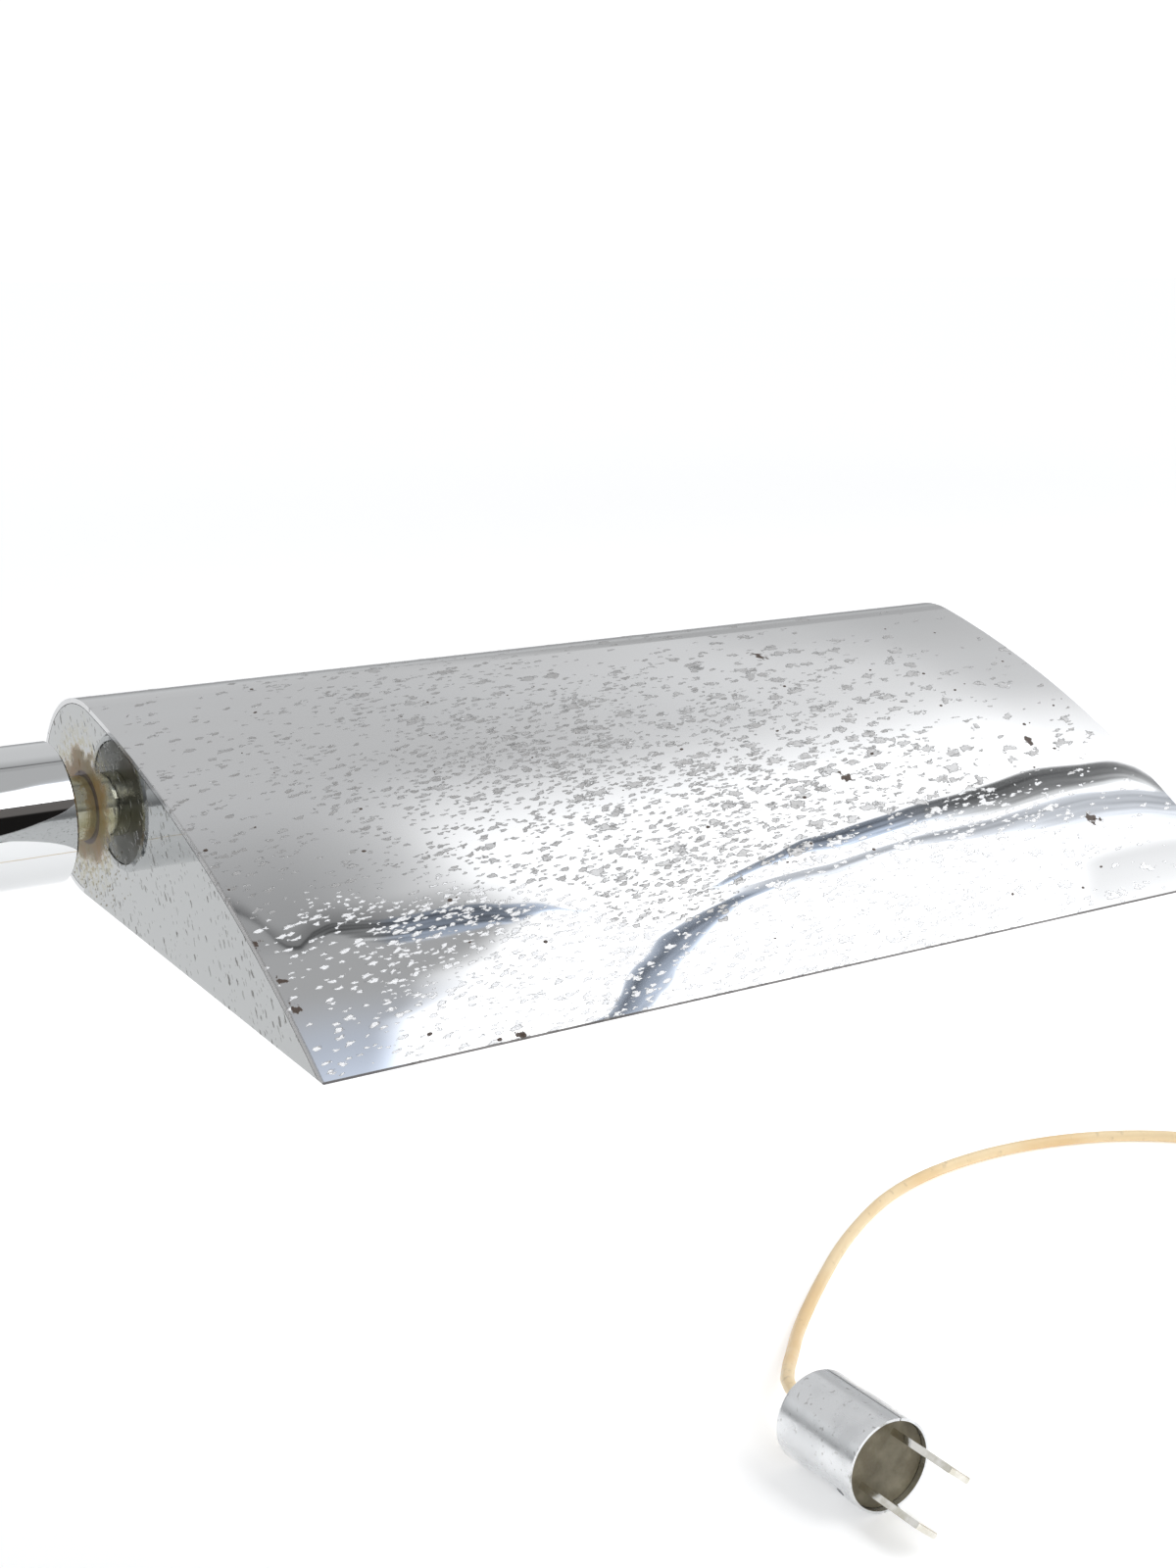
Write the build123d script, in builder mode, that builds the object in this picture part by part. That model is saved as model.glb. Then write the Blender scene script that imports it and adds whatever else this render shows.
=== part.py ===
from build123d import *
import math
import os

os.makedirs("parts", exist_ok=True)

# A low desk reading lamp in chromed steel. A round weighted base carries a short stem, a swivel
# knuckle and a level tube arm, and a long teardrop shade turns on a spindle at the arm's end.
# Millimetres, +Z up. The origin is the centre of the felt foot, on the table. At rest the arm
# runs along +X, and the shade's front edge is towards -Y.

# Driving dimensions
ARM_HEIGHT = 170.0  # arm axis above the table
REACH = 190.0  # stem axis to the outside of the shade's near cap
TUBE_RADIUS = 11.1125  # stem and arm are seven-eighths inch tube
TUBE_WALL = 1.2
NECK_LENGTH = 5.3  # spindle showing between the arm and the shade
RUNNING = 0.05  # radial clearance of a turning fit
EASE = 0.1  # radial gap between fixed round parts

SHADE_LENGTH = 178.2
SHADE_TILT = 5.13  # degrees that the front edge hangs below level at rest
SHADE_WALL = 0.8
SHADE_BACK_RADIUS = 15.75
SHADE_BACK_Y = 1.0  # centre of the round back, from the arm axis
SHADE_BACK_Z = 1.2
SHADE_FRONT_Y = -79.6  # the sharp front edge, from the arm axis
SHADE_CROWN_RADIUS = 204.5
SEAM_GAP = 0.1
CAP_WALL = 1.0
CAP_FLANGE = 7.0

FELT_THICKNESS = 2.0
FELT_RADIUS = 84.0
PLATE_THICKNESS = 1.2
PLATE_RADIUS = 88.5
WEIGHT_RADIUS = 84.0
WEIGHT_HEIGHT = 13.0
COVER_RADIUS = 90.0
COVER_WALL = 1.0
COVER_EDGE_RADIUS = 5.0
COVER_LIFT = 1.0  # lower edge of the cover above the table

NIPPLE_RADIUS = 5.0
NIPPLE_BORE = 3.5
HEX_LARGE = 16.0  # across flats
HEX_SMALL = 13.0
WIRE_RADIUS = 0.75
WIRE_OFFSET = 0.95

CORD_RADIUS = 1.6
CORD_HEIGHT = 7.6  # cord axis in the base's side
CORD_ANGLE = -60.0  # where the cord leaves the base, from +X

PLUG_RADIUS = 10.5
PLUG_LENGTH = 25.8
PLUG_WALL = 0.6
PLUG_X = 351.3  # centre of the plug's front face
PLUG_Y = -13.4
PLUG_YAW = -92.5  # the way the blades point, from +X
BLADE_SPACING = 12.7
BLADE_WIDTH = 6.35
BLADE_THICKNESS = 1.5
BLADE_LENGTH = 18.5
BLADE_ROLL = 50.5  # blade spacing direction, from level

UP = (Align.CENTER, Align.CENTER, Align.MIN)

# Levels in the base and stem, from the table up
plate_z = FELT_THICKNESS
weight_z = plate_z + PLATE_THICKNESS
weight_top = weight_z + WEIGHT_HEIGHT
cover_top = weight_top + COVER_WALL
ring_height = 4.0
stem_z = cover_top + ring_height
knuckle_radius = 17.0
knuckle_height = 35.8
stem_top = ARM_HEIGHT - 20.0
washer_thickness = 1.2
knuckle_z = stem_top + washer_thickness
knuckle_floor = 5.8
knuckle_top = knuckle_z + knuckle_height
tube_bore = TUBE_RADIUS - TUBE_WALL
bush_radius = tube_bore - EASE

# Stations along the arm, from the stem axis
boss_end = 20.0
collar_length = 4.0
arm_start = boss_end + collar_length
arm_end = REACH - NECK_LENGTH
far_end = REACH + SHADE_LENGTH


def arm_plane(x):
    """The plane across the arm at x, with local X towards +Y and local Y up."""
    return Plane(origin=(x, 0, ARM_HEIGHT), x_dir=(0, 1, 0), z_dir=(1, 0, 0))


def rear_plane(x):
    """The plane across the arm at x, facing the lamp's rear."""
    return Plane(origin=(x, 0, ARM_HEIGHT), x_dir=(0, 1, 0), z_dir=(-1, 0, 0))


def shade_plane(x):
    """The plane across the shade at x, turned with the shade's tilt at rest."""
    tilt = math.radians(SHADE_TILT)
    return Plane(origin=(x, 0, ARM_HEIGHT), x_dir=(0, math.cos(tilt), math.sin(tilt)), z_dir=(1, 0, 0))


# ---------------------------------------------------------------- base

# Felt disc that the lamp stands on
with BuildPart() as felt_pad:
    Cylinder(FELT_RADIUS, FELT_THICKNESS, align=UP)
felt_pad.part.label = "felt_pad"
export_step(felt_pad.part, "parts/felt_pad.step")

# Steel closing plate, with three countersunk holes
screw_circle = 65.0
screw_start = 30.0
screw_radius = 2.0
screw_head_radius = 4.0
screw_head_height = 1.2
screw_length = 9.0
with BuildPart(Plane.XY.offset(plate_z)) as base_plate:
    Cylinder(PLATE_RADIUS, PLATE_THICKNESS, align=UP)
    with PolarLocations(screw_circle, 3, start_angle=screw_start):
        Cone(screw_head_radius + EASE, screw_radius + EASE, screw_head_height, align=UP, mode=Mode.SUBTRACT)
base_plate.part.label = "base_plate"
export_step(base_plate.part, "parts/base_plate.step")

# Three countersunk screws, plate to weight
with BuildPart(Plane.XY.offset(plate_z)) as plate_screws:
    with PolarLocations(screw_circle, 3, start_angle=screw_start):
        Cone(screw_head_radius, screw_radius, screw_head_height, align=UP)
        Cylinder(screw_radius, screw_length, align=UP)
plate_screws.part.label = "plate_screws"
export_step(plate_screws.part, "parts/plate_screws.step")

# Cast-iron weight, with a pocket for the nut, a channel for the cord and three tapped holes
pocket_radius = 13.0
pocket_depth = 8.0
channel_width = 8.0
channel_depth = 9.0
stem_hole = 5.3
with BuildPart(Plane.XY.offset(weight_z)) as base_weight:
    Cylinder(WEIGHT_RADIUS, WEIGHT_HEIGHT, align=UP)
    fillet(base_weight.edges().filter_by(GeomType.CIRCLE).group_by(Axis.Z)[-1], 4.0)
    Cylinder(stem_hole, WEIGHT_HEIGHT, align=UP, mode=Mode.SUBTRACT)
    Cylinder(pocket_radius, pocket_depth, align=UP, mode=Mode.SUBTRACT)
    with BuildSketch(Plane.XY.offset(weight_z)):
        with Locations(Rotation(0, 0, CORD_ANGLE)):
            Rectangle(WEIGHT_RADIUS + 1, channel_width, align=(Align.MIN, Align.CENTER))
    extrude(amount=channel_depth, mode=Mode.SUBTRACT)
    with PolarLocations(screw_circle, 3, start_angle=screw_start):
        Cylinder(screw_radius + EASE, screw_length, align=UP, mode=Mode.SUBTRACT)
base_weight.part.label = "base_weight"
export_step(base_weight.part, "parts/base_weight.step")

# Spun cover over the weight, with a rounded shoulder and the cord hole in its side
cord_hole = 3.2
cord_plane = Plane(
    origin=(0, 0, CORD_HEIGHT),
    x_dir=(math.cos(math.radians(CORD_ANGLE + 90)), math.sin(math.radians(CORD_ANGLE + 90)), 0),
    z_dir=(math.cos(math.radians(CORD_ANGLE)), math.sin(math.radians(CORD_ANGLE)), 0),
)
with BuildPart(Plane.XY.offset(COVER_LIFT)) as base_cover:
    Cylinder(COVER_RADIUS, cover_top - COVER_LIFT, align=UP)
    fillet(base_cover.edges().group_by(Axis.Z)[-1], COVER_EDGE_RADIUS)
    offset(amount=-COVER_WALL, openings=base_cover.faces().sort_by(Axis.Z)[0])
    Cylinder(stem_hole, cover_top, align=UP, mode=Mode.SUBTRACT)
    with BuildSketch(cord_plane.offset(COVER_RADIUS - 5)):
        Circle(cord_hole + EASE)
    extrude(amount=10, mode=Mode.SUBTRACT)
base_cover.part.label = "base_cover"
export_step(base_cover.part, "parts/base_cover.step")

# Threaded tube that ties the base, ring and stem together
base_nipple_z = 6.4
base_nipple_length = 27.0
with BuildPart(Plane.XY.offset(base_nipple_z)) as base_nipple:
    Cylinder(NIPPLE_RADIUS, base_nipple_length, align=UP)
    Cylinder(NIPPLE_BORE, base_nipple_length, align=UP, mode=Mode.SUBTRACT)
base_nipple.part.label = "base_nipple"
export_step(base_nipple.part, "parts/base_nipple.step")

# Washer in the weight's pocket
base_washer_z = weight_z + pocket_depth - 1.0
with BuildPart(Plane.XY.offset(base_washer_z)) as base_washer:
    Cylinder(11.0, 1.0, align=UP)
    Cylinder(NIPPLE_RADIUS + EASE, 1.0, align=UP, mode=Mode.SUBTRACT)
base_washer.part.label = "base_washer"
export_step(base_washer.part, "parts/base_washer.step")

# Rubber strain relief in the cover's side, tapering along the cord
relief_profile = [
    (86.6, 4.2),
    (88.3, 4.2),
    (88.3, cord_hole),
    (90.1, cord_hole),
    (90.1, 4.6),
    (92.0, 4.4),
    (94.0, 3.5),
    (112.0, 2.3),
]
relief_end = relief_profile[-1][0]
with BuildPart() as cord_relief:
    with BuildSketch(Plane(origin=cord_plane.origin, x_dir=cord_plane.z_dir, z_dir=-cord_plane.x_dir)):
        with BuildLine():
            Polyline([(86.6, CORD_RADIUS), *relief_profile, (relief_end, CORD_RADIUS)], close=True)
        make_face()
    revolve(axis=Axis(cord_plane.origin, cord_plane.z_dir))
cord_relief.part.label = "cord_relief"
export_step(cord_relief.part, "parts/cord_relief.step")

# Nylon grip that holds the cord in the weight's channel
grip_start = 48.0
grip_length = 12.0
with BuildPart() as cord_grip:
    with BuildSketch(cord_plane.offset(grip_start)):
        Rectangle(channel_width - 2 * EASE, 7.0)
        Circle(CORD_RADIUS, mode=Mode.SUBTRACT)
    extrude(amount=grip_length)
cord_grip.part.label = "cord_grip"
export_step(cord_grip.part, "parts/cord_grip.step")

# Jacketed cord inside the base, from the grip to the end of the strain relief
jacket_start = 44.0
with BuildPart(cord_plane.offset(jacket_start)) as cord_inside:
    Cylinder(CORD_RADIUS, relief_end - jacket_start, align=UP)
cord_inside.part.label = "cord_inside"
export_step(cord_inside.part, "parts/cord_inside.step")

# Two wires from the jacket's end through the channel and up the stem
wire_bend = 3.0
wire_low = 5.0
stem_wire_top = ARM_HEIGHT - 4.0
with BuildPart() as stem_wires:
    for side in (-WIRE_OFFSET, WIRE_OFFSET):
        with BuildLine(Plane(origin=(0, 0, 0), x_dir=cord_plane.z_dir, z_dir=-cord_plane.x_dir)) as wire_path:
            FilletPolyline(
                (jacket_start - 0.3, CORD_HEIGHT, side),
                (30.0, wire_low, side),
                (0, wire_low, side),
                (0, stem_wire_top, side),
                radius=wire_bend,
            )
        with BuildSketch(Plane(origin=wire_path.line @ 0, z_dir=wire_path.line % 0)):
            Circle(WIRE_RADIUS)
        sweep(path=wire_path.line)
stem_wires.part.label = "stem_wires"
export_step(stem_wires.part, "parts/stem_wires.step")

# ---------------------------------------------------------------- stem

# Turned ring at the foot of the stem
with BuildPart(Plane.XY.offset(cover_top)) as stem_ring:
    Cylinder(knuckle_radius, ring_height, align=UP)
    fillet(stem_ring.edges().group_by(Axis.Z)[-1], 2.0)
    Cylinder(stem_hole, ring_height, align=UP, mode=Mode.SUBTRACT)
stem_ring.part.label = "stem_ring"
export_step(stem_ring.part, "parts/stem_ring.step")

# Stem tube
with BuildPart(Plane.XY.offset(stem_z)) as stem_tube:
    Cylinder(TUBE_RADIUS, stem_top - stem_z, align=UP)
    Cylinder(tube_bore, stem_top - stem_z, align=UP, mode=Mode.SUBTRACT)
stem_tube.part.label = "stem_tube"
export_step(stem_tube.part, "parts/stem_tube.step")

# Tapped bushes pressed into both ends of the stem
bush_length = 13.0
with BuildPart() as stem_bushes:
    with Locations((0, 0, stem_z), (0, 0, stem_top - bush_length)):
        Cylinder(bush_radius, bush_length, align=UP)
        Cylinder(NIPPLE_RADIUS + EASE, bush_length, align=UP, mode=Mode.SUBTRACT)
stem_bushes.part.label = "stem_bushes"
export_step(stem_bushes.part, "parts/stem_bushes.step")

# Hollow pin that the knuckle turns on
swivel_pin_z = stem_top - 11.0
swivel_pin_top = knuckle_z + knuckle_floor + 5.6
with BuildPart(Plane.XY.offset(swivel_pin_z)) as swivel_pin:
    Cylinder(NIPPLE_RADIUS, swivel_pin_top - swivel_pin_z, align=UP)
    Cylinder(NIPPLE_BORE, swivel_pin_top - swivel_pin_z, align=UP, mode=Mode.SUBTRACT)
swivel_pin.part.label = "swivel_pin"
export_step(swivel_pin.part, "parts/swivel_pin.step")

# Fibre washer under the knuckle
with BuildPart(Plane.XY.offset(stem_top)) as swivel_washer:
    Cylinder(TUBE_RADIUS, washer_thickness, align=UP)
    Cylinder(NIPPLE_RADIUS + EASE, washer_thickness, align=UP, mode=Mode.SUBTRACT)
swivel_washer.part.label = "swivel_washer"
export_step(swivel_washer.part, "parts/swivel_washer.step")

# Spring washer that keeps the swivel stiff
spring_gap = 0.1
spring_height = 1.1
swivel_spring_z = knuckle_z + knuckle_floor + spring_gap
with BuildPart(Plane.XY.offset(swivel_spring_z)) as swivel_spring:
    Cylinder(8.5, spring_height, align=UP)
    Cylinder(NIPPLE_RADIUS + EASE, spring_height, align=UP, mode=Mode.SUBTRACT)
swivel_spring.part.label = "swivel_spring"
export_step(swivel_spring.part, "parts/swivel_spring.step")

# Two alike nuts: one in the weight's pocket, one on top of the swivel's spring
nut_height = 3.2
with BuildPart() as stem_nuts:
    for nut_z in (base_washer_z - nut_height, swivel_spring_z + spring_height):
        with BuildSketch(Plane.XY.offset(nut_z)):
            RegularPolygon(HEX_LARGE / 2, 6, major_radius=False)
            Circle(NIPPLE_RADIUS + EASE, mode=Mode.SUBTRACT)
        extrude(amount=nut_height)
stem_nuts.part.label = "stem_nuts"
export_step(stem_nuts.part, "parts/stem_nuts.step")

# ---------------------------------------------------------------- knuckle and arm

# Hollow knuckle with a boss on each side
boss_radius = 12.5
knuckle_wall = 3.0
knuckle_bore = knuckle_radius - knuckle_wall
with BuildPart(Plane.XY.offset(knuckle_z)) as knuckle_body:
    Cylinder(knuckle_radius, knuckle_height, align=UP)
    fillet(knuckle_body.edges().group_by(Axis.Z)[0], 1.5)
    with BuildSketch(arm_plane(-boss_end)):
        Circle(boss_radius)
    extrude(amount=2 * boss_end)
    with Locations((0, 0, knuckle_floor)):
        Cylinder(knuckle_bore, knuckle_height, align=UP, mode=Mode.SUBTRACT)
    Cylinder(NIPPLE_RADIUS + RUNNING, knuckle_floor, align=UP, mode=Mode.SUBTRACT)
    with BuildSketch(arm_plane(-boss_end)):
        Circle(NIPPLE_RADIUS + EASE)
    extrude(amount=2 * boss_end, mode=Mode.SUBTRACT)
knuckle_body.part.label = "knuckle_body"
export_step(knuckle_body.part, "parts/knuckle_body.step")

# Domed cap that closes the knuckle
cap_plug_depth = 4.0
cap_rise = 4.5
cap_rim = 1.2
with BuildPart() as knuckle_cap:
    with BuildSketch(Plane.XZ):
        with BuildLine():
            Polyline(
                (0, knuckle_top + cap_rise),
                (0, knuckle_top - cap_plug_depth),
                (knuckle_bore - EASE, knuckle_top - cap_plug_depth),
                (knuckle_bore - EASE, knuckle_top),
                (knuckle_radius, knuckle_top),
                (knuckle_radius, knuckle_top + cap_rim),
            )
            TangentArc((0, knuckle_top + cap_rise), (knuckle_radius, knuckle_top + cap_rim), tangent=(1, 0))
        make_face()
    revolve(axis=Axis.Z)
knuckle_cap.part.label = "knuckle_cap"
export_step(knuckle_cap.part, "parts/knuckle_cap.step")

# Threaded tube that holds the arm on the knuckle
with BuildPart(arm_plane(13.5)) as arm_nipple:
    Cylinder(NIPPLE_RADIUS, 23.0, align=UP)
    Cylinder(NIPPLE_BORE, 23.0, align=UP, mode=Mode.SUBTRACT)
arm_nipple.part.label = "arm_nipple"
export_step(arm_nipple.part, "parts/arm_nipple.step")

# Collar between the knuckle and the arm
with BuildPart(arm_plane(boss_end)) as arm_collar:
    Cylinder(boss_radius + 0.8, collar_length, align=UP)
    fillet(arm_collar.edges().filter_by(GeomType.CIRCLE), 1.0)
    Cylinder(NIPPLE_RADIUS + EASE, collar_length, align=UP, mode=Mode.SUBTRACT)
arm_collar.part.label = "arm_collar"
export_step(arm_collar.part, "parts/arm_collar.step")

# Arm tube, its far end cut square with a small bevel
arm_bevel = 0.4
with BuildPart(arm_plane(arm_start)) as arm_tube:
    Cylinder(TUBE_RADIUS, arm_end - arm_start, align=UP)
    Cylinder(tube_bore, arm_end - arm_start, align=UP, mode=Mode.SUBTRACT)
    chamfer(arm_tube.edges().group_by(Axis.X)[-1].sort_by(SortBy.RADIUS)[-1], arm_bevel)
arm_tube.part.label = "arm_tube"
export_step(arm_tube.part, "parts/arm_tube.step")

# Bushes pressed into both ends of the arm; the far one is the shade's bearing
with BuildPart(arm_plane(arm_start)) as arm_rear_bush:
    Cylinder(bush_radius, bush_length, align=UP)
    Cylinder(NIPPLE_RADIUS + EASE, bush_length, align=UP, mode=Mode.SUBTRACT)
arm_rear_bush.part.label = "arm_rear_bush"
export_step(arm_rear_bush.part, "parts/arm_rear_bush.step")

spindle_radius = 5.15
bearing_length = 16.0
bearing_start = arm_end - 0.2 - bearing_length
with BuildPart(arm_plane(bearing_start)) as arm_end_bush:
    Cylinder(bush_radius, bearing_length, align=UP)
    Cylinder(spindle_radius + RUNNING, bearing_length, align=UP, mode=Mode.SUBTRACT)
arm_end_bush.part.label = "arm_end_bush"
export_step(arm_end_bush.part, "parts/arm_end_bush.step")

# Two wires from the switch through the knuckle and along the arm
arm_wire_start = -27.0
arm_wire_end = 156.5
with BuildPart(arm_plane(arm_wire_start)) as arm_wires:
    with Locations((-WIRE_OFFSET, 0), (WIRE_OFFSET, 0)):
        Cylinder(WIRE_RADIUS, arm_wire_end - arm_wire_start, align=UP)
arm_wires.part.label = "arm_wires"
export_step(arm_wires.part, "parts/arm_wires.step")

# ---------------------------------------------------------------- switch, behind the knuckle

housing_radius = 13.0
housing_wall = 1.2
housing_length = 26.0
housing_end_wall = 2.0
housing_rear = boss_end + housing_length
mount_thickness = 3.0
bushing_radius = 4.0
shaft_radius = 3.0
knob_radius = 9.0
knob_length = 14.0
knob_start = housing_rear + 6.0

# Chromed housing that stands out behind the knuckle
with BuildPart(rear_plane(-boss_end)) as switch_housing:
    Cylinder(housing_radius, housing_length, align=UP)
    fillet(switch_housing.edges().group_by(Axis.X)[0], 2.0)
    Cylinder(housing_radius - housing_wall, housing_length - housing_end_wall, align=UP, mode=Mode.SUBTRACT)
    Cylinder(bushing_radius + EASE, housing_length, align=UP, mode=Mode.SUBTRACT)
switch_housing.part.label = "switch_housing"
export_step(switch_housing.part, "parts/switch_housing.step")

# Disc in the housing's mouth, and the threaded tube and nut that hold it on the knuckle
with BuildPart(rear_plane(-boss_end)) as switch_mount:
    Cylinder(housing_radius - housing_wall - EASE, mount_thickness, align=UP)
    Cylinder(NIPPLE_RADIUS + EASE, mount_thickness, align=UP, mode=Mode.SUBTRACT)
switch_mount.part.label = "switch_mount"
export_step(switch_mount.part, "parts/switch_mount.step")

with BuildPart(rear_plane(-13.5)) as switch_nipple:
    Cylinder(NIPPLE_RADIUS, 12.7, align=UP)
    Cylinder(NIPPLE_BORE, 12.7, align=UP, mode=Mode.SUBTRACT)
switch_nipple.part.label = "switch_nipple"
export_step(switch_nipple.part, "parts/switch_nipple.step")

with BuildPart() as switch_nut:
    with BuildSketch(rear_plane(-boss_end - mount_thickness)):
        RegularPolygon(HEX_LARGE / 2, 6, major_radius=False)
        Circle(NIPPLE_RADIUS + EASE, mode=Mode.SUBTRACT)
    extrude(amount=nut_height)
switch_nut.part.label = "switch_nut"
export_step(switch_nut.part, "parts/switch_nut.step")

# Rotary switch: moulded body, threaded bushing and ring nut
switch_body_length = 16.0
switch_body_rear = housing_rear - housing_end_wall
with BuildPart(rear_plane(-switch_body_rear + switch_body_length)) as switch_body:
    Cylinder(10.5, switch_body_length, align=UP)
    fillet(switch_body.edges().group_by(Axis.X)[-1], 1.0)
switch_body.part.label = "switch_body"
export_step(switch_body.part, "parts/switch_body.step")

with BuildPart(rear_plane(-switch_body_rear)) as switch_bushing:
    Cylinder(bushing_radius, 6.8, align=UP)
    Cylinder(shaft_radius + RUNNING, 6.8, align=UP, mode=Mode.SUBTRACT)
switch_bushing.part.label = "switch_bushing"
export_step(switch_bushing.part, "parts/switch_bushing.step")

with BuildPart(rear_plane(-housing_rear)) as switch_ring_nut:
    Cylinder(6.8, 2.6, align=UP)
    chamfer(switch_ring_nut.edges().group_by(Axis.X)[0], 0.5)
    Cylinder(bushing_radius + EASE, 2.6, align=UP, mode=Mode.SUBTRACT)
switch_ring_nut.part.label = "switch_ring_nut"
export_step(switch_ring_nut.part, "parts/switch_ring_nut.step")

# Shaft, fluted knob and grub screw, which turn together
shaft_start = switch_body_rear + 0.2
shaft_end = knob_start + knob_length - 3.0
with BuildPart(rear_plane(-shaft_start)) as switch_shaft:
    Cylinder(shaft_radius, shaft_end - shaft_start, align=UP)
switch_shaft.part.label = "switch_shaft"
export_step(switch_shaft.part, "parts/switch_shaft.step")

flute_count = 24
flute_radius = 0.7
grub_radius = 1.5
grub_offset = 3.5
with BuildPart(rear_plane(-knob_start)) as switch_knob:
    Cylinder(knob_radius, knob_length, align=UP)
    fillet(switch_knob.edges().group_by(Axis.X)[0], 1.5)
    with PolarLocations(knob_radius + 0.2, flute_count):
        Cylinder(flute_radius, knob_length - 2.5, align=UP, mode=Mode.SUBTRACT)
    Cylinder(shaft_radius + EASE, shaft_end - knob_start, align=UP, mode=Mode.SUBTRACT)
    with BuildSketch(Plane(origin=(-knob_start - grub_offset, 0, ARM_HEIGHT), z_dir=(0, 0, 1))):
        Circle(grub_radius + EASE)
    extrude(amount=knob_radius + 1, mode=Mode.SUBTRACT)
switch_knob.part.label = "switch_knob"
export_step(switch_knob.part, "parts/switch_knob.step")

grub_z = ARM_HEIGHT + shaft_radius + EASE
with BuildPart(Plane(origin=(-knob_start - grub_offset, 0, grub_z), z_dir=(0, 0, 1))) as knob_grub_screw:
    Cylinder(grub_radius, 4.5, align=UP)
knob_grub_screw.part.label = "knob_grub_screw"
export_step(knob_grub_screw.part, "parts/knob_grub_screw.step")

# ---------------------------------------------------------------- shade

# The crown arc is tangent to the round back and ends at the front edge. Its centre is where two
# circles cross: one about the back's centre, one about the front edge.
opening_z = SHADE_BACK_Z - SHADE_BACK_RADIUS
back_centre = Vector(SHADE_BACK_Y, SHADE_BACK_Z)
front_edge = Vector(SHADE_FRONT_Y, opening_z)
span = front_edge - back_centre
to_back = SHADE_CROWN_RADIUS - SHADE_BACK_RADIUS
along = (to_back**2 - SHADE_CROWN_RADIUS**2 + span.length**2) / (2 * span.length)
across = math.sqrt(to_back**2 - along**2)
crown_centre = back_centre + span.normalized() * along + span.normalized().rotate(Axis.Z, 90) * across
crown_direction = (back_centre - crown_centre).normalized()


def crown_point(inset, y):
    """The point at y on the crown arc, inset from the outside of the sheet."""
    radius = SHADE_CROWN_RADIUS - inset
    return (y, crown_centre.Y + math.sqrt(radius**2 - (y - crown_centre.X) ** 2))


def front_point(inset):
    """Where the crown arc, inset from the outside, meets the plane of the opening."""
    radius = SHADE_CROWN_RADIUS - inset
    return (crown_centre.X - math.sqrt(radius**2 - (opening_z - crown_centre.Y) ** 2), opening_z)


# How far a section dips past the opening, so that cutting one from another leaves no skin
opening_skim = 0.001


def section_face(inset):
    """The shade's section, inset from the outside of the sheet and flat along the opening."""
    radius = SHADE_BACK_RADIUS - inset
    front = Vector(*front_point(inset))
    meeting = back_centre + crown_direction * radius
    middle_y = (front.X + meeting.X) / 2
    angle = math.atan2(crown_direction.Y, crown_direction.X)
    half = (angle - math.pi / 2) / 2
    behind = back_centre + Vector(math.cos(half), math.sin(half)) * radius
    bottom = back_centre + Vector(0, -radius)
    with BuildLine() as outline:
        ThreePointArc(front, crown_point(inset, middle_y), meeting)
        ThreePointArc(meeting, behind, bottom)
        Polyline(bottom, (bottom.X, opening_z - opening_skim), (front.X, opening_z - opening_skim), front)
    return make_face(outline.edges())


# Shade sheet: one piece of steel, bent round the back and over the crown
with BuildPart() as shade_wrap:
    with BuildSketch(shade_plane(REACH)):
        add(section_face(0))
        add(section_face(SHADE_WALL), mode=Mode.SUBTRACT)
    extrude(amount=SHADE_LENGTH)
shade_wrap.part.label = "shade_wrap"
export_step(shade_wrap.part, "parts/shade_wrap.step")

# End caps: shallow pans set inside the ends of the sheet, each with a flange
cap_inset = SHADE_WALL + SEAM_GAP
cap_flange_wall = 0.7
thread_radius = 4.0
with BuildPart() as shade_cap_near:
    with BuildSketch(shade_plane(REACH)):
        add(section_face(cap_inset))
    extrude(amount=CAP_WALL)
    with BuildSketch(shade_plane(REACH)):
        add(section_face(cap_inset))
        add(section_face(cap_inset + cap_flange_wall), mode=Mode.SUBTRACT)
    extrude(amount=CAP_FLANGE)
    with BuildSketch(shade_plane(REACH)):
        Circle(thread_radius + EASE)
    extrude(amount=CAP_WALL, mode=Mode.SUBTRACT)
shade_cap_near.part.label = "shade_cap_near"
export_step(shade_cap_near.part, "parts/shade_cap_near.step")

with BuildPart() as shade_cap_far:
    with BuildSketch(shade_plane(far_end)):
        add(section_face(cap_inset))
    extrude(amount=-CAP_WALL)
    with BuildSketch(shade_plane(far_end)):
        add(section_face(cap_inset))
        add(section_face(cap_inset + cap_flange_wall), mode=Mode.SUBTRACT)
    extrude(amount=-CAP_FLANGE)
shade_cap_far.part.label = "shade_cap_far"
export_step(shade_cap_far.part, "parts/shade_cap_far.step")

# Polished liner that snaps in between the caps, behind and above the bulb
liner_inset = cap_inset + cap_flange_wall + 0.05
liner_wall = 0.4
liner_front = -34.0
liner_margin = 0.15
liner_trim = 60.0
with BuildPart() as shade_liner:
    with BuildSketch(shade_plane(REACH + CAP_WALL + liner_margin)):
        add(section_face(liner_inset))
        add(section_face(liner_inset + liner_wall), mode=Mode.SUBTRACT)
        with Locations((liner_front, 0)):
            Rectangle(liner_trim, liner_trim, align=(Align.MAX, Align.CENTER), mode=Mode.SUBTRACT)
    extrude(amount=SHADE_LENGTH - 2 * (CAP_WALL + liner_margin))
shade_liner.part.label = "shade_liner"
export_step(shade_liner.part, "parts/shade_liner.step")

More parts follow.
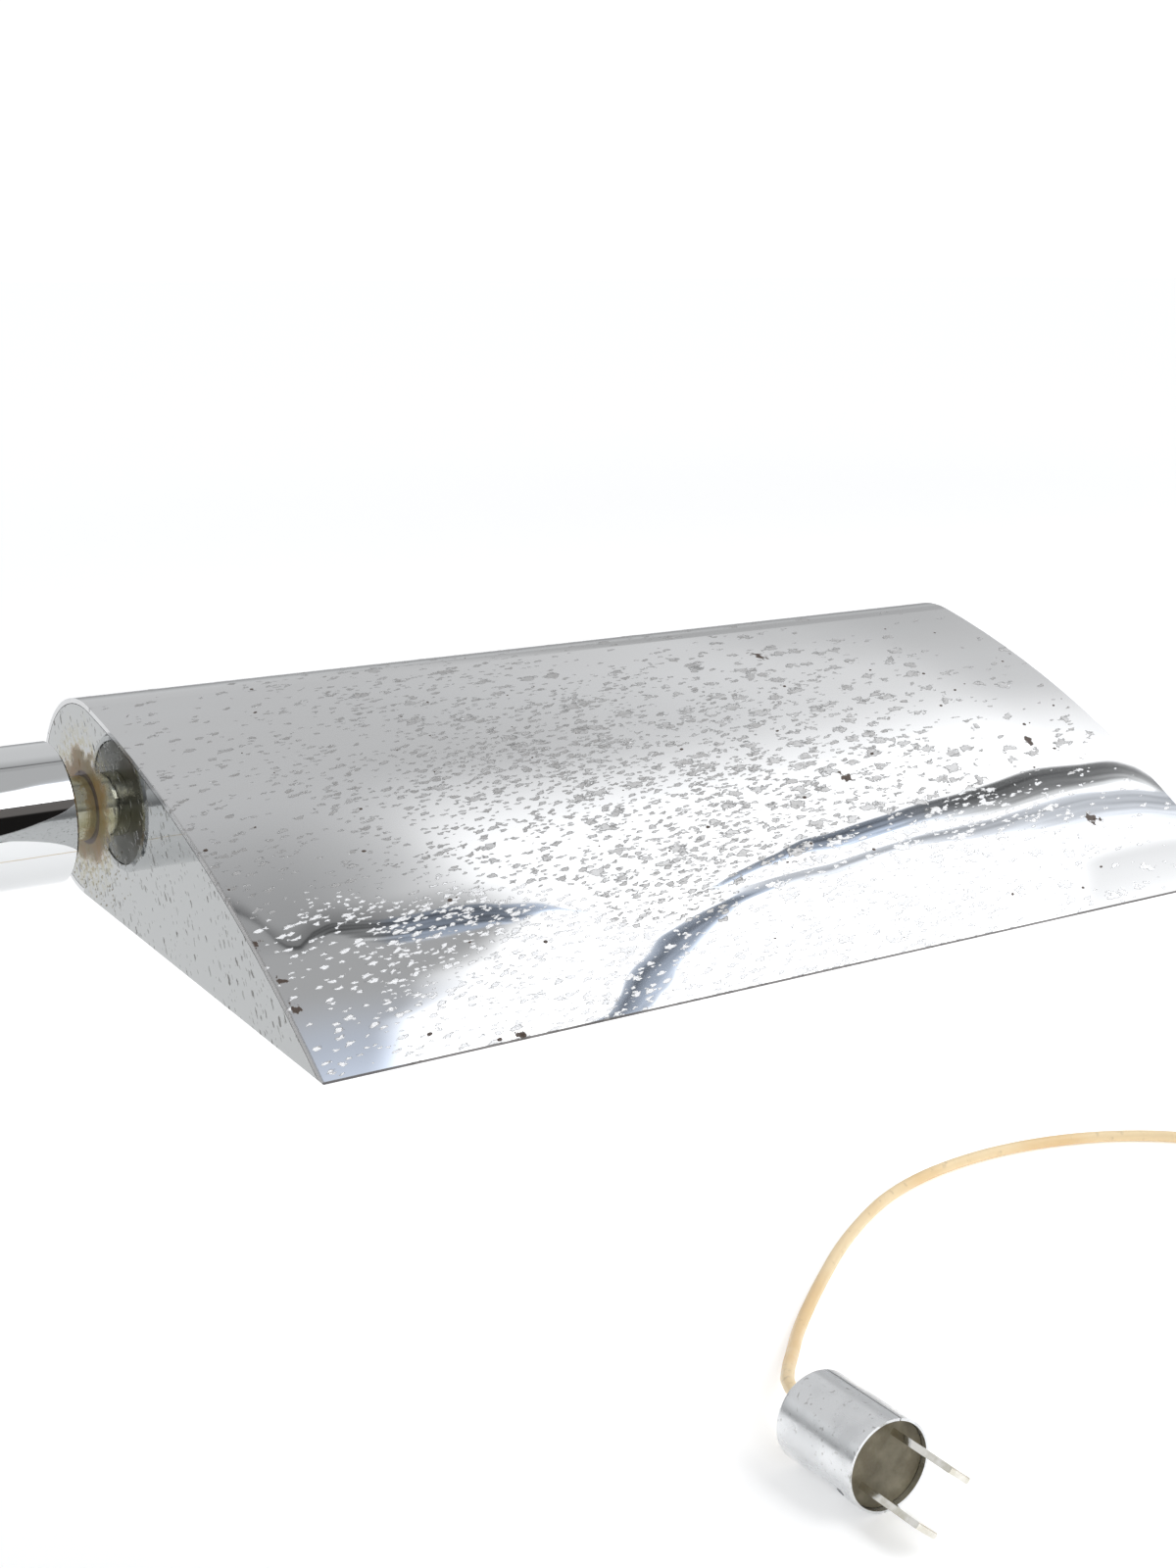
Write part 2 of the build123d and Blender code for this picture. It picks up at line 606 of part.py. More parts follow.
# Hollow spindle: it turns in the arm's bush, and its shoulder bears on the near cap
spindle_start = 158.0
spindle_thread_end = REACH + 14.0
spindle_bore = 2.7
with BuildPart(arm_plane(spindle_start)) as shade_spindle:
    Cylinder(spindle_radius, REACH - spindle_start, align=UP)
    Cylinder(thread_radius, spindle_thread_end - spindle_start, align=UP)
    Cylinder(spindle_bore, spindle_thread_end - spindle_start, align=UP, mode=Mode.SUBTRACT)
shade_spindle.part.label = "shade_spindle"
export_step(shade_spindle.part, "parts/shade_spindle.step")

# Spring washer and nut on the spindle, inside the arm
spindle_spring_height = 0.8
spindle_nut_height = 4.0
spindle_spring_start = bearing_start - 0.2 - spindle_spring_height
with BuildPart(arm_plane(spindle_spring_start)) as spindle_spring:
    Cylinder(8.8, spindle_spring_height, align=UP)
    Cylinder(spindle_radius + EASE, spindle_spring_height, align=UP, mode=Mode.SUBTRACT)
spindle_spring.part.label = "spindle_spring"
export_step(spindle_spring.part, "parts/spindle_spring.step")

with BuildPart() as spindle_nut:
    with BuildSketch(arm_plane(spindle_spring_start - spindle_nut_height)):
        RegularPolygon(HEX_LARGE / 2, 6, major_radius=False)
        Circle(spindle_radius + EASE, mode=Mode.SUBTRACT)
    extrude(amount=spindle_nut_height)
spindle_nut.part.label = "spindle_nut"
export_step(spindle_nut.part, "parts/spindle_nut.step")

# Washer and nut that clamp the near cap against the spindle's shoulder
with BuildPart(arm_plane(REACH + CAP_WALL)) as shade_washer:
    Cylinder(8.0, 1.0, align=UP)
    Cylinder(thread_radius + EASE, 1.0, align=UP, mode=Mode.SUBTRACT)
shade_washer.part.label = "shade_washer"
export_step(shade_washer.part, "parts/shade_washer.step")

with BuildPart() as shade_nut:
    with BuildSketch(arm_plane(REACH + CAP_WALL + 1.0)):
        RegularPolygon(HEX_SMALL / 2, 6, major_radius=False)
        Circle(thread_radius + EASE, mode=Mode.SUBTRACT)
    extrude(amount=4.0)
shade_nut.part.label = "shade_nut"
export_step(shade_nut.part, "parts/shade_nut.step")

# ---------------------------------------------------------------- lampholder and bulb

socket_start = REACH + 8.0
socket_cup_radius = 11.2
socket_cup_length = 14.0
socket_body_radius = 10.3
socket_end = REACH + 46.0
screw_bore = 9.0
screw_bore_start = socket_start + 15.0

# Metal cup that screws on the spindle
with BuildPart(arm_plane(socket_start)) as socket_cup:
    Cylinder(socket_cup_radius, socket_cup_length, align=UP)
    with Locations((0, 0, 1.5)):
        Cylinder(socket_body_radius + EASE, socket_cup_length, align=UP, mode=Mode.SUBTRACT)
    Cylinder(thread_radius + EASE, socket_cup_length, align=UP, mode=Mode.SUBTRACT)
socket_cup.part.label = "socket_cup"
export_step(socket_cup.part, "parts/socket_cup.step")

# Porcelain body of the lampholder
socket_body_start = socket_start + 1.7
with BuildPart(arm_plane(socket_body_start)) as socket_body:
    Cylinder(socket_body_radius, socket_end - socket_body_start, align=UP)
    Cylinder(5.0, 6.5, align=UP, mode=Mode.SUBTRACT)
    with Locations((0, 0, screw_bore_start - socket_body_start)):
        Cylinder(screw_bore, 40.0, align=UP, mode=Mode.SUBTRACT)
socket_body.part.label = "socket_body"
export_step(socket_body.part, "parts/socket_body.step")

# Brass screw shell and centre contact
with BuildPart(arm_plane(screw_bore_start + 0.2)) as socket_shell:
    Cylinder(screw_bore - 0.05, 21.5, align=UP)
    Cylinder(screw_bore - 0.45, 21.5, align=UP, mode=Mode.SUBTRACT)
socket_shell.part.label = "socket_shell"
export_step(socket_shell.part, "parts/socket_shell.step")

with BuildPart(arm_plane(screw_bore_start)) as socket_contact:
    Cylinder(3.0, 0.8, align=UP)
socket_contact.part.label = "socket_contact"
export_step(socket_contact.part, "parts/socket_contact.step")

# Bulb: screw base with its solder tip, frosted glass tube and the filament mount inside it
bulb_tip_start = screw_bore_start + 0.9
bulb_base_start = bulb_tip_start + 2.1
bulb_base_radius = 8.3
bulb_tip_radius = 2.5
bulb_base_length = 18.0
bulb_glass_radius = 10.3
bulb_neck_radius = 7.6
bulb_neck_start = bulb_base_start + 8.0
bulb_body_start = bulb_neck_start + 18.0
bulb_end = REACH + 157.0
glass_wall = 0.8
with BuildPart(arm_plane(bulb_tip_start)) as bulb_base:
    Cylinder(bulb_tip_radius, bulb_base_start - bulb_tip_start, align=UP)
    with Locations((0, 0, bulb_base_start - bulb_tip_start)):
        Cylinder(bulb_base_radius, bulb_base_length, align=UP)
    with Locations((0, 0, bulb_base_start - bulb_tip_start + 1.5)):
        Cylinder(bulb_base_radius - 0.4, bulb_base_length, align=UP, mode=Mode.SUBTRACT)
bulb_base.part.label = "bulb_base"
export_step(bulb_base.part, "parts/bulb_base.step")

with BuildPart() as bulb_glass:
    with BuildSketch(Plane(origin=(0, 0, ARM_HEIGHT), x_dir=(1, 0, 0), z_dir=(0, -1, 0))):
        with BuildLine():
            neck = Line((bulb_neck_start, bulb_neck_radius), (bulb_neck_start + 10, bulb_neck_radius))
            flare = Spline(
                [neck @ 1, (bulb_body_start, bulb_glass_radius)], tangents=[(1, 0), (1, 0)], tangent_scalars=[1, 1]
            )
            side = Line(flare @ 1, (bulb_end - bulb_glass_radius, bulb_glass_radius))
            dome = TangentArc(side @ 1, (bulb_end, 0), tangent=(1, 0))
            Line(dome @ 1, (bulb_neck_start, 0))
            Line((bulb_neck_start, 0), neck @ 0)
        make_face()
    revolve(axis=Axis((0, 0, ARM_HEIGHT), (1, 0, 0)))
    offset(amount=-glass_wall, openings=bulb_glass.faces().sort_by(Axis.X)[0])
bulb_glass.part.label = "bulb_glass"
export_step(bulb_glass.part, "parts/bulb_glass.step")

mount_start = bulb_neck_start + 2.0
mount_length = 26.0
support_reach = 76.0
with BuildPart(arm_plane(mount_start)) as bulb_mount:
    Cone(3.0, 1.8, mount_length, align=UP)
    with Locations((0, -3.0, mount_length / 2)):
        Cylinder(0.25, support_reach, align=UP)
    with Locations((0, 2.4, mount_length / 2)):
        Cylinder(0.25, 18.0, align=UP)
    with BuildSketch(arm_plane(mount_start + mount_length / 2 + support_reach)):
        Rectangle(0.5, 6.5)
    extrude(amount=-0.5)
    with BuildSketch(arm_plane(mount_start + mount_length / 2 + 17.5)):
        with Locations((0, 2.4)):
            Rectangle(0.5, 0.5)
    extrude(amount=support_reach - 17.5)
    with BuildSketch(arm_plane(mount_start + mount_length / 2)):
        Rectangle(0.5, 6.5)
    extrude(amount=-0.5)
bulb_mount.part.label = "bulb_mount"
export_step(bulb_mount.part, "parts/bulb_mount.step")

# Two wires through the spindle to the lampholder
with BuildPart(arm_plane(157.5)) as socket_wires:
    with Locations((-WIRE_OFFSET, 0), (WIRE_OFFSET, 0)):
        Cylinder(WIRE_RADIUS, socket_start + 8.0 - 157.5, align=UP)
socket_wires.part.label = "socket_wires"
export_step(socket_wires.part, "parts/socket_wires.step")

# ---------------------------------------------------------------- mains plug

yaw = math.radians(PLUG_YAW)
roll = math.radians(BLADE_ROLL)
forward = Vector(math.cos(yaw), math.sin(yaw), 0)
sideways = Vector(-math.sin(yaw), math.cos(yaw), 0)
blade_line = sideways * math.cos(roll) + Vector(0, 0, math.sin(roll))
plug_front = Vector(PLUG_X, PLUG_Y, PLUG_RADIUS)
plug_back = plug_front - forward * PLUG_LENGTH
core_back = 0.9
core_front = PLUG_LENGTH - 1.5


def plug_plane(distance):
    """The plane across the plug, distance from its back, with local X along the blade spacing."""
    return Plane(origin=plug_back + forward * distance, x_dir=blade_line, z_dir=forward)


# Rolled shell with a closed-up back rim, a lengthwise seam and a screw hole
seam_turn = 25.0
seam_width = 0.25
plug_screw_turn = 160.5
plug_screw_station = PLUG_LENGTH - 4.6
plug_screw_radius = 0.9
plug_screw_depth = 8.1
with BuildPart(plug_plane(0)) as plug_shell:
    Cylinder(PLUG_RADIUS, PLUG_LENGTH, align=UP)
    fillet(plug_shell.edges().group_by(Axis.Y)[-1], 1.2)
    Cylinder(8.2, PLUG_LENGTH, align=UP, mode=Mode.SUBTRACT)
    with Locations((0, 0, core_back)):
        Cylinder(PLUG_RADIUS - PLUG_WALL, PLUG_LENGTH, align=UP, mode=Mode.SUBTRACT)
    with Locations(Rotation(0, 0, seam_turn)):
        Box(
            PLUG_RADIUS + 1,
            seam_width,
            PLUG_LENGTH,
            align=(Align.MIN, Align.CENTER, Align.MIN),
            mode=Mode.SUBTRACT,
        )
    with Locations(Location((0, 0, plug_screw_station)) * Rotation(0, 0, plug_screw_turn) * Rotation(0, 90, 0)):
        Cylinder(plug_screw_radius + EASE, PLUG_RADIUS + 1, align=UP, mode=Mode.SUBTRACT)
plug_shell.part.label = "plug_shell"
export_step(plug_shell.part, "parts/plug_shell.step")

# Moulded core, set back from the front rim, with slots for the blades
blade_depth = 9.0
with BuildPart(plug_plane(core_back)) as plug_core:
    Cylinder(PLUG_RADIUS - PLUG_WALL - EASE, core_front - core_back, align=UP)
    with BuildSketch(plug_plane(core_front)):
        with Locations((-BLADE_SPACING / 2, 0), (BLADE_SPACING / 2, 0)):
            Rectangle(BLADE_THICKNESS, BLADE_WIDTH)
    extrude(amount=-blade_depth, mode=Mode.SUBTRACT)
    with Locations(
        Location((0, 0, plug_screw_station - core_back)) * Rotation(0, 0, plug_screw_turn) * Rotation(0, 90, 0)
    ):
        with Locations((0, 0, plug_screw_depth)):
            Cylinder(plug_screw_radius + EASE, PLUG_RADIUS, align=UP, mode=Mode.SUBTRACT)
plug_core.part.label = "plug_core"
export_step(plug_core.part, "parts/plug_core.step")

# Screw through the shell into the core
with BuildPart(plug_plane(plug_screw_station)) as plug_screw:
    with Locations(Rotation(0, 0, plug_screw_turn) * Rotation(0, 90, 0)):
        with Locations((0, 0, plug_screw_depth)):
            Cylinder(plug_screw_radius, 2.0, align=UP)
plug_screw.part.label = "plug_screw"
export_step(plug_screw.part, "parts/plug_screw.step")

# The two flat blades, their tips rounded on the narrow side
tip_round = 0.5
with BuildPart() as plug_blades:
    with BuildSketch(plug_plane(core_front - blade_depth)):
        with Locations((-BLADE_SPACING / 2, 0), (BLADE_SPACING / 2, 0)):
            Rectangle(BLADE_THICKNESS, BLADE_WIDTH)
    extrude(amount=blade_depth + BLADE_LENGTH)
    blade_tips = plug_blades.faces().sort_by(Axis(plug_back, forward))[-2:]
    fillet([edge for tip in blade_tips for edge in tip.edges().sort_by(SortBy.LENGTH)[2:]], tip_round)
plug_blades.part.label = "plug_blades"
export_step(plug_blades.part, "parts/plug_blades.step")

# ---------------------------------------------------------------- free cord

# Put-away coil: turns lie beside and on each other in a ring
COIL_X = 546.0
COIL_Y = 18.0
COIL_OUTER = 22.6
COIL_INNER = 12.4
COIL_HEIGHT = 12.9
with BuildPart(Plane(origin=(COIL_X, COIL_Y, 0), z_dir=(0, 0, 1))) as cord_coil:
    Cylinder(COIL_OUTER, COIL_HEIGHT, align=UP)
    Cylinder(COIL_INNER, COIL_HEIGHT, align=UP, mode=Mode.SUBTRACT)
    fillet(cord_coil.edges().filter_by(GeomType.CIRCLE), 1.4)
cord_coil.part.label = "cord_coil"
export_step(cord_coil.part, "parts/cord_coil.step")


def cord_radii(points):
    """One radius for each corner: as large as the shorter of its two runs allows."""
    radii = []
    for before, corner, after in zip(points, points[1:], points[2:]):
        arriving = Vector(*corner) - Vector(*before)
        leaving = Vector(*after) - Vector(*corner)
        half_turn = math.radians(arriving.get_angle(leaving) / 2)
        radii.append(0.45 * min(arriving.length, leaving.length) / math.tan(half_turn))
    return radii


def report_cord(name, radii, path, tube):
    """Prints a cord tube's radii and compares its volume with its section times its length."""
    length = sum(edge.length for edge in path.edges())
    expected = math.pi * CORD_RADIUS**2 * length
    print(name, "radii", [round(radius) for radius in radii])
    print(name, "length", round(length, 1), "volume", round(tube.volume), "expected", round(expected))


# Base to coil: out of the strain relief, down to the table and along it
exit_point = cord_plane.origin + cord_plane.z_dir * relief_end
supply_route = [
    (exit_point.X, exit_point.Y, exit_point.Z),
    (61.5, -106.5, 7.6),
    (70.5, -117.5, 4.8),
    (86.0, -124.0, 1.6),
    (111.0, -126.0, 1.6),
    (152.0, -122.0, 1.6),
    (204.0, -117.5, 1.6),
    (260.0, -117.0, 1.6),
    (316.0, -114.0, 1.6),
    (370.0, -104.0, 1.6),
    (420.0, -82.0, 1.6),
    (461.0, -52.0, 1.6),
    (493.0, -24.0, 1.6),
    (519.0, -8.0, 1.6),
    (546.0, -2.9, 1.6),
]
supply_radii = cord_radii(supply_route)
with BuildPart() as cord_supply:
    with BuildLine() as supply_path:
        FilletPolyline(*supply_route, radius=supply_radii)
    with BuildSketch(Plane(origin=supply_path.line @ 0, z_dir=supply_path.line % 0)):
        Circle(CORD_RADIUS)
    sweep(path=supply_path.line)
cord_supply.part.label = "cord_supply"
export_step(cord_supply.part, "parts/cord_supply.step")
report_cord("cord_supply", supply_radii, supply_path.line, cord_supply.part)

# Coil to plug: off the top of the coil, round in a wide loop and up into the plug's back
entry_point = plug_back + forward * core_back
plug_route = [
    (566.9, 18.0, 11.2),
    (569.5, 31.0, 9.4),
    (571.5, 48.0, 4.8),
    (569.5, 68.0, 1.6),
    (560.0, 90.0, 1.6),
    (534.0, 107.0, 1.6),
    (500.0, 114.0, 1.6),
    (464.0, 109.5, 1.6),
    (432.0, 93.0, 1.6),
    (406.0, 74.0, 1.6),
    (386.0, 58.0, 1.6),
    (372.5, 44.0, 4.4),
    (361.5, 34.0, 8.4),
    (353.0, 24.0, 10.5),
    (entry_point.X, entry_point.Y, entry_point.Z),
]
plug_radii = cord_radii(plug_route)
with BuildPart() as cord_plug_run:
    with BuildLine() as plug_path:
        FilletPolyline(*plug_route, radius=plug_radii)
    with BuildSketch(Plane(origin=plug_path.line @ 0, z_dir=plug_path.line % 0)):
        Circle(CORD_RADIUS)
    sweep(path=plug_path.line)
cord_plug_run.part.label = "cord_plug_run"
export_step(cord_plug_run.part, "parts/cord_plug_run.step")
report_cord("cord_plug_run", plug_radii, plug_path.line, cord_plug_run.part)
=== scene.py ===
import math

import bpy
from mathutils import Matrix, Vector


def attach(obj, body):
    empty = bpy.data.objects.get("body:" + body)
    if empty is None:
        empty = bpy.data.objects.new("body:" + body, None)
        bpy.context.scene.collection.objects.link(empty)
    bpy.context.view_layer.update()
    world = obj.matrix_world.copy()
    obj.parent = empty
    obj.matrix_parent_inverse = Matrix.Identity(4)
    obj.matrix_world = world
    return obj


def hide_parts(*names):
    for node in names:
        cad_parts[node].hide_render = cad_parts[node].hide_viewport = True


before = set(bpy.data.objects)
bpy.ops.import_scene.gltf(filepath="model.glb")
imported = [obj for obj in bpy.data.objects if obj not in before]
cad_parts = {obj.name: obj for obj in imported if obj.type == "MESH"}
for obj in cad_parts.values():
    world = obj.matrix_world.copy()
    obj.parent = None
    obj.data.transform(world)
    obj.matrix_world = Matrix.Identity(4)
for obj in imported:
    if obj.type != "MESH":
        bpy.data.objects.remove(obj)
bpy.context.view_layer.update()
bpy.ops.object.select_all(action="DESELECT")


# ---------------------------------------------------------------- camera

# The camera stands in front of the arm's end and looks down a little along the shade, with the
# plug lying beyond it on the table. The heading is from +Y, the drop is below level.
camera_heading = -34.35
camera_drop = 13.05
bpy.ops.object.camera_add(
    location=(0.0623, -0.3259, 0.2528),
    rotation=(math.radians(90 - camera_drop), 0, math.radians(camera_heading)),
)
camera = bpy.context.object
camera.data.lens = 51.66
camera.data.sensor_width = 36
camera.data.clip_start = 0.01
bpy.context.scene.camera = camera
bpy.context.scene.view_settings.view_transform = "Standard"


# ---------------------------------------------------------------- mains cord

# Round vinyl lamp cord, 3.2 mm thick and 1.8 m long, in a cream that has yellowed. It leaves the
# base through the relief, its spare length is wound into a tied coil, and it ends in the plug.
CORD_RADIUS = 0.0016
supply_route = [
    (0.0560, -0.0970, 0.0076), (0.0615, -0.1065, 0.0076), (0.0705, -0.1175, 0.0048),
    (0.0860, -0.1240, 0.0016), (0.1110, -0.1260, 0.0016), (0.1520, -0.1220, 0.0016),
    (0.2040, -0.1175, 0.0016), (0.2600, -0.1170, 0.0016), (0.3160, -0.1140, 0.0016),
    (0.3700, -0.1040, 0.0016), (0.4200, -0.0820, 0.0016), (0.4610, -0.0520, 0.0016),
    (0.4930, -0.0240, 0.0016), (0.5190, -0.0080, 0.0016),
]
plug_route = [
    (0.5695, 0.0310, 0.0094), (0.5715, 0.0480, 0.0048), (0.5695, 0.0680, 0.0016),
    (0.5600, 0.0900, 0.0016), (0.5340, 0.1070, 0.0016), (0.5000, 0.1140, 0.0016),
    (0.4640, 0.1095, 0.0016), (0.4320, 0.0930, 0.0016), (0.4060, 0.0740, 0.0016),
    (0.3860, 0.0580, 0.0016), (0.3740, 0.0455, 0.0042), (0.3640, 0.0350, 0.0080),
    (0.3550, 0.0245, 0.0104), (0.3524, 0.0115, 0.0105),
]
coil_centre = Vector((0.546, 0.018, 0))
coil_outer = 0.0209
coil_inner = 0.0143
coil_layers = 4
coil_turns = 8.25
points_per_turn = 14
climb_share = 0.08


def coil_points():
    """Control points of the coil: four flat layers, wound inwards and outwards in turn."""
    count = round(coil_turns * points_per_turn)
    widen = 1 / math.cos(math.pi / points_per_turn)
    points = []
    for step in range(count + 1):
        done = step / count * coil_layers
        layer = min(int(done), coil_layers - 1)
        share = done - layer
        inward = share if layer % 2 == 0 else 1 - share
        radius = (coil_outer + (coil_inner - coil_outer) * inward) * widen
        climb = max(0.0, (share - 1 + climb_share) / climb_share) if layer < coil_layers - 1 else 0.0
        angle = math.radians(-90) + 2 * math.pi * coil_turns * step / count
        height = CORD_RADIUS * (1 + 2 * (layer + climb))
        points.append(coil_centre + Vector((radius * math.cos(angle), radius * math.sin(angle), height)))
    return points


cord_points = supply_route + coil_points() + plug_route
cord_curve = bpy.data.curves.new("mains_cord", "CURVE")
cord_curve.dimensions = "3D"
cord_curve.bevel_depth = CORD_RADIUS
cord_curve.bevel_resolution = 4
cord_curve.use_fill_caps = True
cord_curve.resolution_u = 8
cord_line = cord_curve.splines.new("NURBS")
cord_line.points.add(len(cord_points) - 1)
for point, place in zip(cord_line.points, cord_points):
    point.co = (*place, 1)
cord_line.order_u = 3
cord_line.use_endpoint_u = True
mains_cord = bpy.data.objects.new("mains_cord", cord_curve)
bpy.context.scene.collection.objects.link(mains_cord)


def shader_node(tree, kind, wires=None, **options):
    """One node of a material: options are its own settings, wires its sockets' values or sources."""
    made = tree.nodes.new("ShaderNode" + kind)
    for option, value in options.items():
        setattr(made, option, value)
    for socket, source in (wires or {}).items():
        if isinstance(source, bpy.types.NodeSocket):
            tree.links.new(source, made.inputs[socket])
        else:
            made.inputs[socket].default_value = source
    return made


def new_finish(name, colour, roughness, metallic=0.0):
    """A material with its base colour, roughness and metal set, before its pattern is wired."""
    finish = bpy.data.materials.new(name)
    finish.use_nodes = True
    shader = finish.node_tree.nodes["Principled BSDF"]
    shader.inputs["Base Color"].default_value = (*colour, 1)
    shader.inputs["Roughness"].default_value = roughness
    shader.inputs["Metallic"].default_value = metallic
    return finish


def wire_shader(finish, **sources):
    """Wires sources to the material's shader. Each key is a socket's name with _ for a space."""
    tree = finish.node_tree
    shader = tree.nodes["Principled BSDF"]
    for socket, source in sources.items():
        tree.links.new(source, shader.inputs[socket.replace("_", " ")])


def stepped(tree, value, low, high, to_low=0.0, to_high=1.0):
    """A smooth step of a value between low and high."""
    wires = {"Value": value, "From Min": low, "From Max": high, "To Min": to_low, "To Max": to_high}
    return shader_node(tree, "MapRange", wires, interpolation_type="SMOOTHSTEP").outputs["Result"]


def blended(tree, share, first, second):
    """Two colours mixed by a share."""
    made = shader_node(tree, "Mix", {0: share, 6: first, 7: second}, data_type="RGBA")
    return made.outputs[2]


def cloud(tree, place, scale, detail=3.0):
    """Soft noise, from 0 to 1, on a place."""
    return shader_node(tree, "TexNoise", {"Vector": place, "Scale": scale,
                                          "Detail": detail}).outputs["Fac"]


def raised(tree, height, strength, depth):
    """A bumped normal from a height map, depth in metres."""
    wires = {"Height": height, "Strength": strength, "Distance": depth}
    return shader_node(tree, "Bump", wires).outputs["Normal"]


def vinyl_finish(name, clean, aged, roughness):
    """Glossy cord vinyl with handling marks and yellowed stretches."""
    finish = new_finish(name, clean, roughness)
    tree = finish.node_tree
    place = shader_node(tree, "TexCoord").outputs["Object"]
    yellowed = stepped(tree, cloud(tree, place, 28), 0.42, 0.62)
    grime = stepped(tree, cloud(tree, place, 420), 0.60, 0.74)
    colour = blended(tree, yellowed, (*clean, 1), (*aged, 1))
    soiled = tuple(0.55 * part for part in aged)
    colour = blended(tree, shader_node(tree, "Math", {0: grime, 1: 0.35}, operation="MULTIPLY").outputs[0],
                     colour, (*soiled, 1))
    gloss = stepped(tree, cloud(tree, place, 160), 0.35, 0.7, roughness - 0.08, roughness + 0.12)
    wire_shader(finish, Base_Color=colour, Roughness=gloss,
                Normal=raised(tree, cloud(tree, place, 700, 2.0), 0.25, 0.0001))
    return finish


cord_vinyl = vinyl_finish("cord_vinyl", (0.86, 0.68, 0.42), (0.80, 0.58, 0.31), 0.38)
mains_cord.data.materials.append(cord_vinyl)
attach(mains_cord, "base")
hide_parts("cord_supply", "cord_coil", "cord_plug_run")


# ---------------------------------------------------------------- studio

# A white table under a pale ceiling panel. The panel is bright over the front and right, and grey
# over the arm, as a room is beside a large window. Dark streaks on it stand for the window's frame.
PANEL_HEIGHT = 1.0
TABLE_SIZE = 60
bpy.ops.mesh.primitive_plane_add(size=TABLE_SIZE)
table = bpy.context.object
table.name = "studio_table"
table_white = new_finish("table_white", (0.93, 0.93, 0.93), 0.7)
shader = table_white.node_tree.nodes["Principled BSDF"]
shader.inputs["Emission Color"].default_value = (1, 1, 1, 1)
shader.inputs["Emission Strength"].default_value = 0.30
table.data.materials.append(table_white)

PANEL_WIDTH = 3.0
PANEL_STRETCH = 1.13
bpy.ops.mesh.primitive_plane_add(size=PANEL_WIDTH, location=(0.75, 0.15, PANEL_HEIGHT))
panel = bpy.context.object
panel.name = "studio_panel"
panel.scale = (1, PANEL_STRETCH, 1)
bpy.ops.object.transform_apply()
panel_glow = bpy.data.materials.new("panel_glow")
panel_glow.use_nodes = True
tree = panel_glow.node_tree
tree.nodes.clear()
spot = shader_node(tree, "TexCoord").outputs["Object"]
parts = shader_node(tree, "SeparateXYZ", {0: spot})
across, deep = parts.outputs["X"], parts.outputs["Y"]


def worked(tree, operation, *values):
    """One arithmetic step, on values or sockets."""
    return shader_node(tree, "Math", dict(enumerate(values)), operation=operation).outputs[0]


def times(tree, *values):
    """The product of several values."""
    product = values[0]
    for value in values[1:]:
        product = worked(tree, "MULTIPLY", product, value)
    return product


def summed(tree, *values):
    """The sum of several values."""
    total = values[0]
    for value in values[1:]:
        total = worked(tree, "ADD", total, value)
    return total


def chosen(tree, share, first, second):
    """The first value where the share is 0, and the second where it is 1."""
    return shader_node(tree, "Mix", {0: share, 2: first, 3: second}, data_type="FLOAT").outputs[0]


def drawn(tree, value, *stops):
    """A value read off a smooth graph, drawn through (value, level) stops."""
    start, stop = stops[0][0], stops[-1][0]
    bottom = min(level for _, level in stops)
    rise = max(level for _, level in stops) - bottom
    share = shader_node(tree, "MapRange", {"Value": value, "From Min": start, "From Max": stop}).outputs[0]
    ramp = shader_node(tree, "ValToRGB", {0: share})
    ramp.color_ramp.interpolation = "CARDINAL"
    bands = ramp.color_ramp.elements
    while len(bands) < len(stops):
        bands.new(0.5)
    for band, (along, level) in zip(bands, stops):
        tone = (level - bottom) / rise
        band.position = (along - start) / (stop - start)
        band.color = (tone, tone, tone, 1)
    return worked(tree, "MULTIPLY_ADD", ramp.outputs["Color"], rise, bottom)


# The plain light: grey over the arm, brighter towards the window on the right and in front.
towards_window = times(tree, stepped(tree, across, 0.75, 1.25), stepped(tree, deep, 1.3, 0.4))
far = worked(tree, "MULTIPLY_ADD", towards_window, 0.40, 0.72)
near_window = times(tree, stepped(tree, across, 0.65, 0.75), stepped(tree, deep, 0.45, 0.12), 0.95)
gloom = times(tree, stepped(tree, deep, 0.45, 0.06), stepped(tree, across, 0.70, 0.60), -0.35)
fall = times(tree, stepped(tree, across, 1.17, 1.29), stepped(tree, deep, 0.10, 0.20), -0.27)
behind = times(tree, summed(tree, far, near_window), summed(tree, gloom, fall, 1.0))
# The window's near edge runs askew: it lies further out in front than beside the shade.
window_edge = drawn(tree, deep, (-0.60, 0.50), (-0.145, 0.644), (-0.07, 0.679), (0.01, 0.733),
                    (0.10, 0.80))
beyond = worked(tree, "SUBTRACT", across, window_edge)
cool = times(tree, stepped(tree, deep, -0.06, -0.22), stepped(tree, across, 0.50, 0.58))
corner = times(tree, stepped(tree, deep, -0.17, -0.26), stepped(tree, across, 0.50, 0.58))
far_corner = times(tree, stepped(tree, deep, -0.06, -0.13), stepped(tree, across, 1.15, 1.22))
front = summed(tree, 0.54, times(tree, cool, 0.28), times(tree, corner, 0.45),
               times(tree, far_corner, -1.30), stepped(tree, beyond, -0.015, 0.045, 0.0, 1.9))
level = chosen(tree, stepped(tree, deep, 0.0, 0.045), front, behind)
cool = times(tree, cool, stepped(tree, beyond, 0.03, 0.0))
tint = blended(tree, cool, (0.985, 0.99, 1.0, 1), (0.84, 0.93, 1.10, 1))


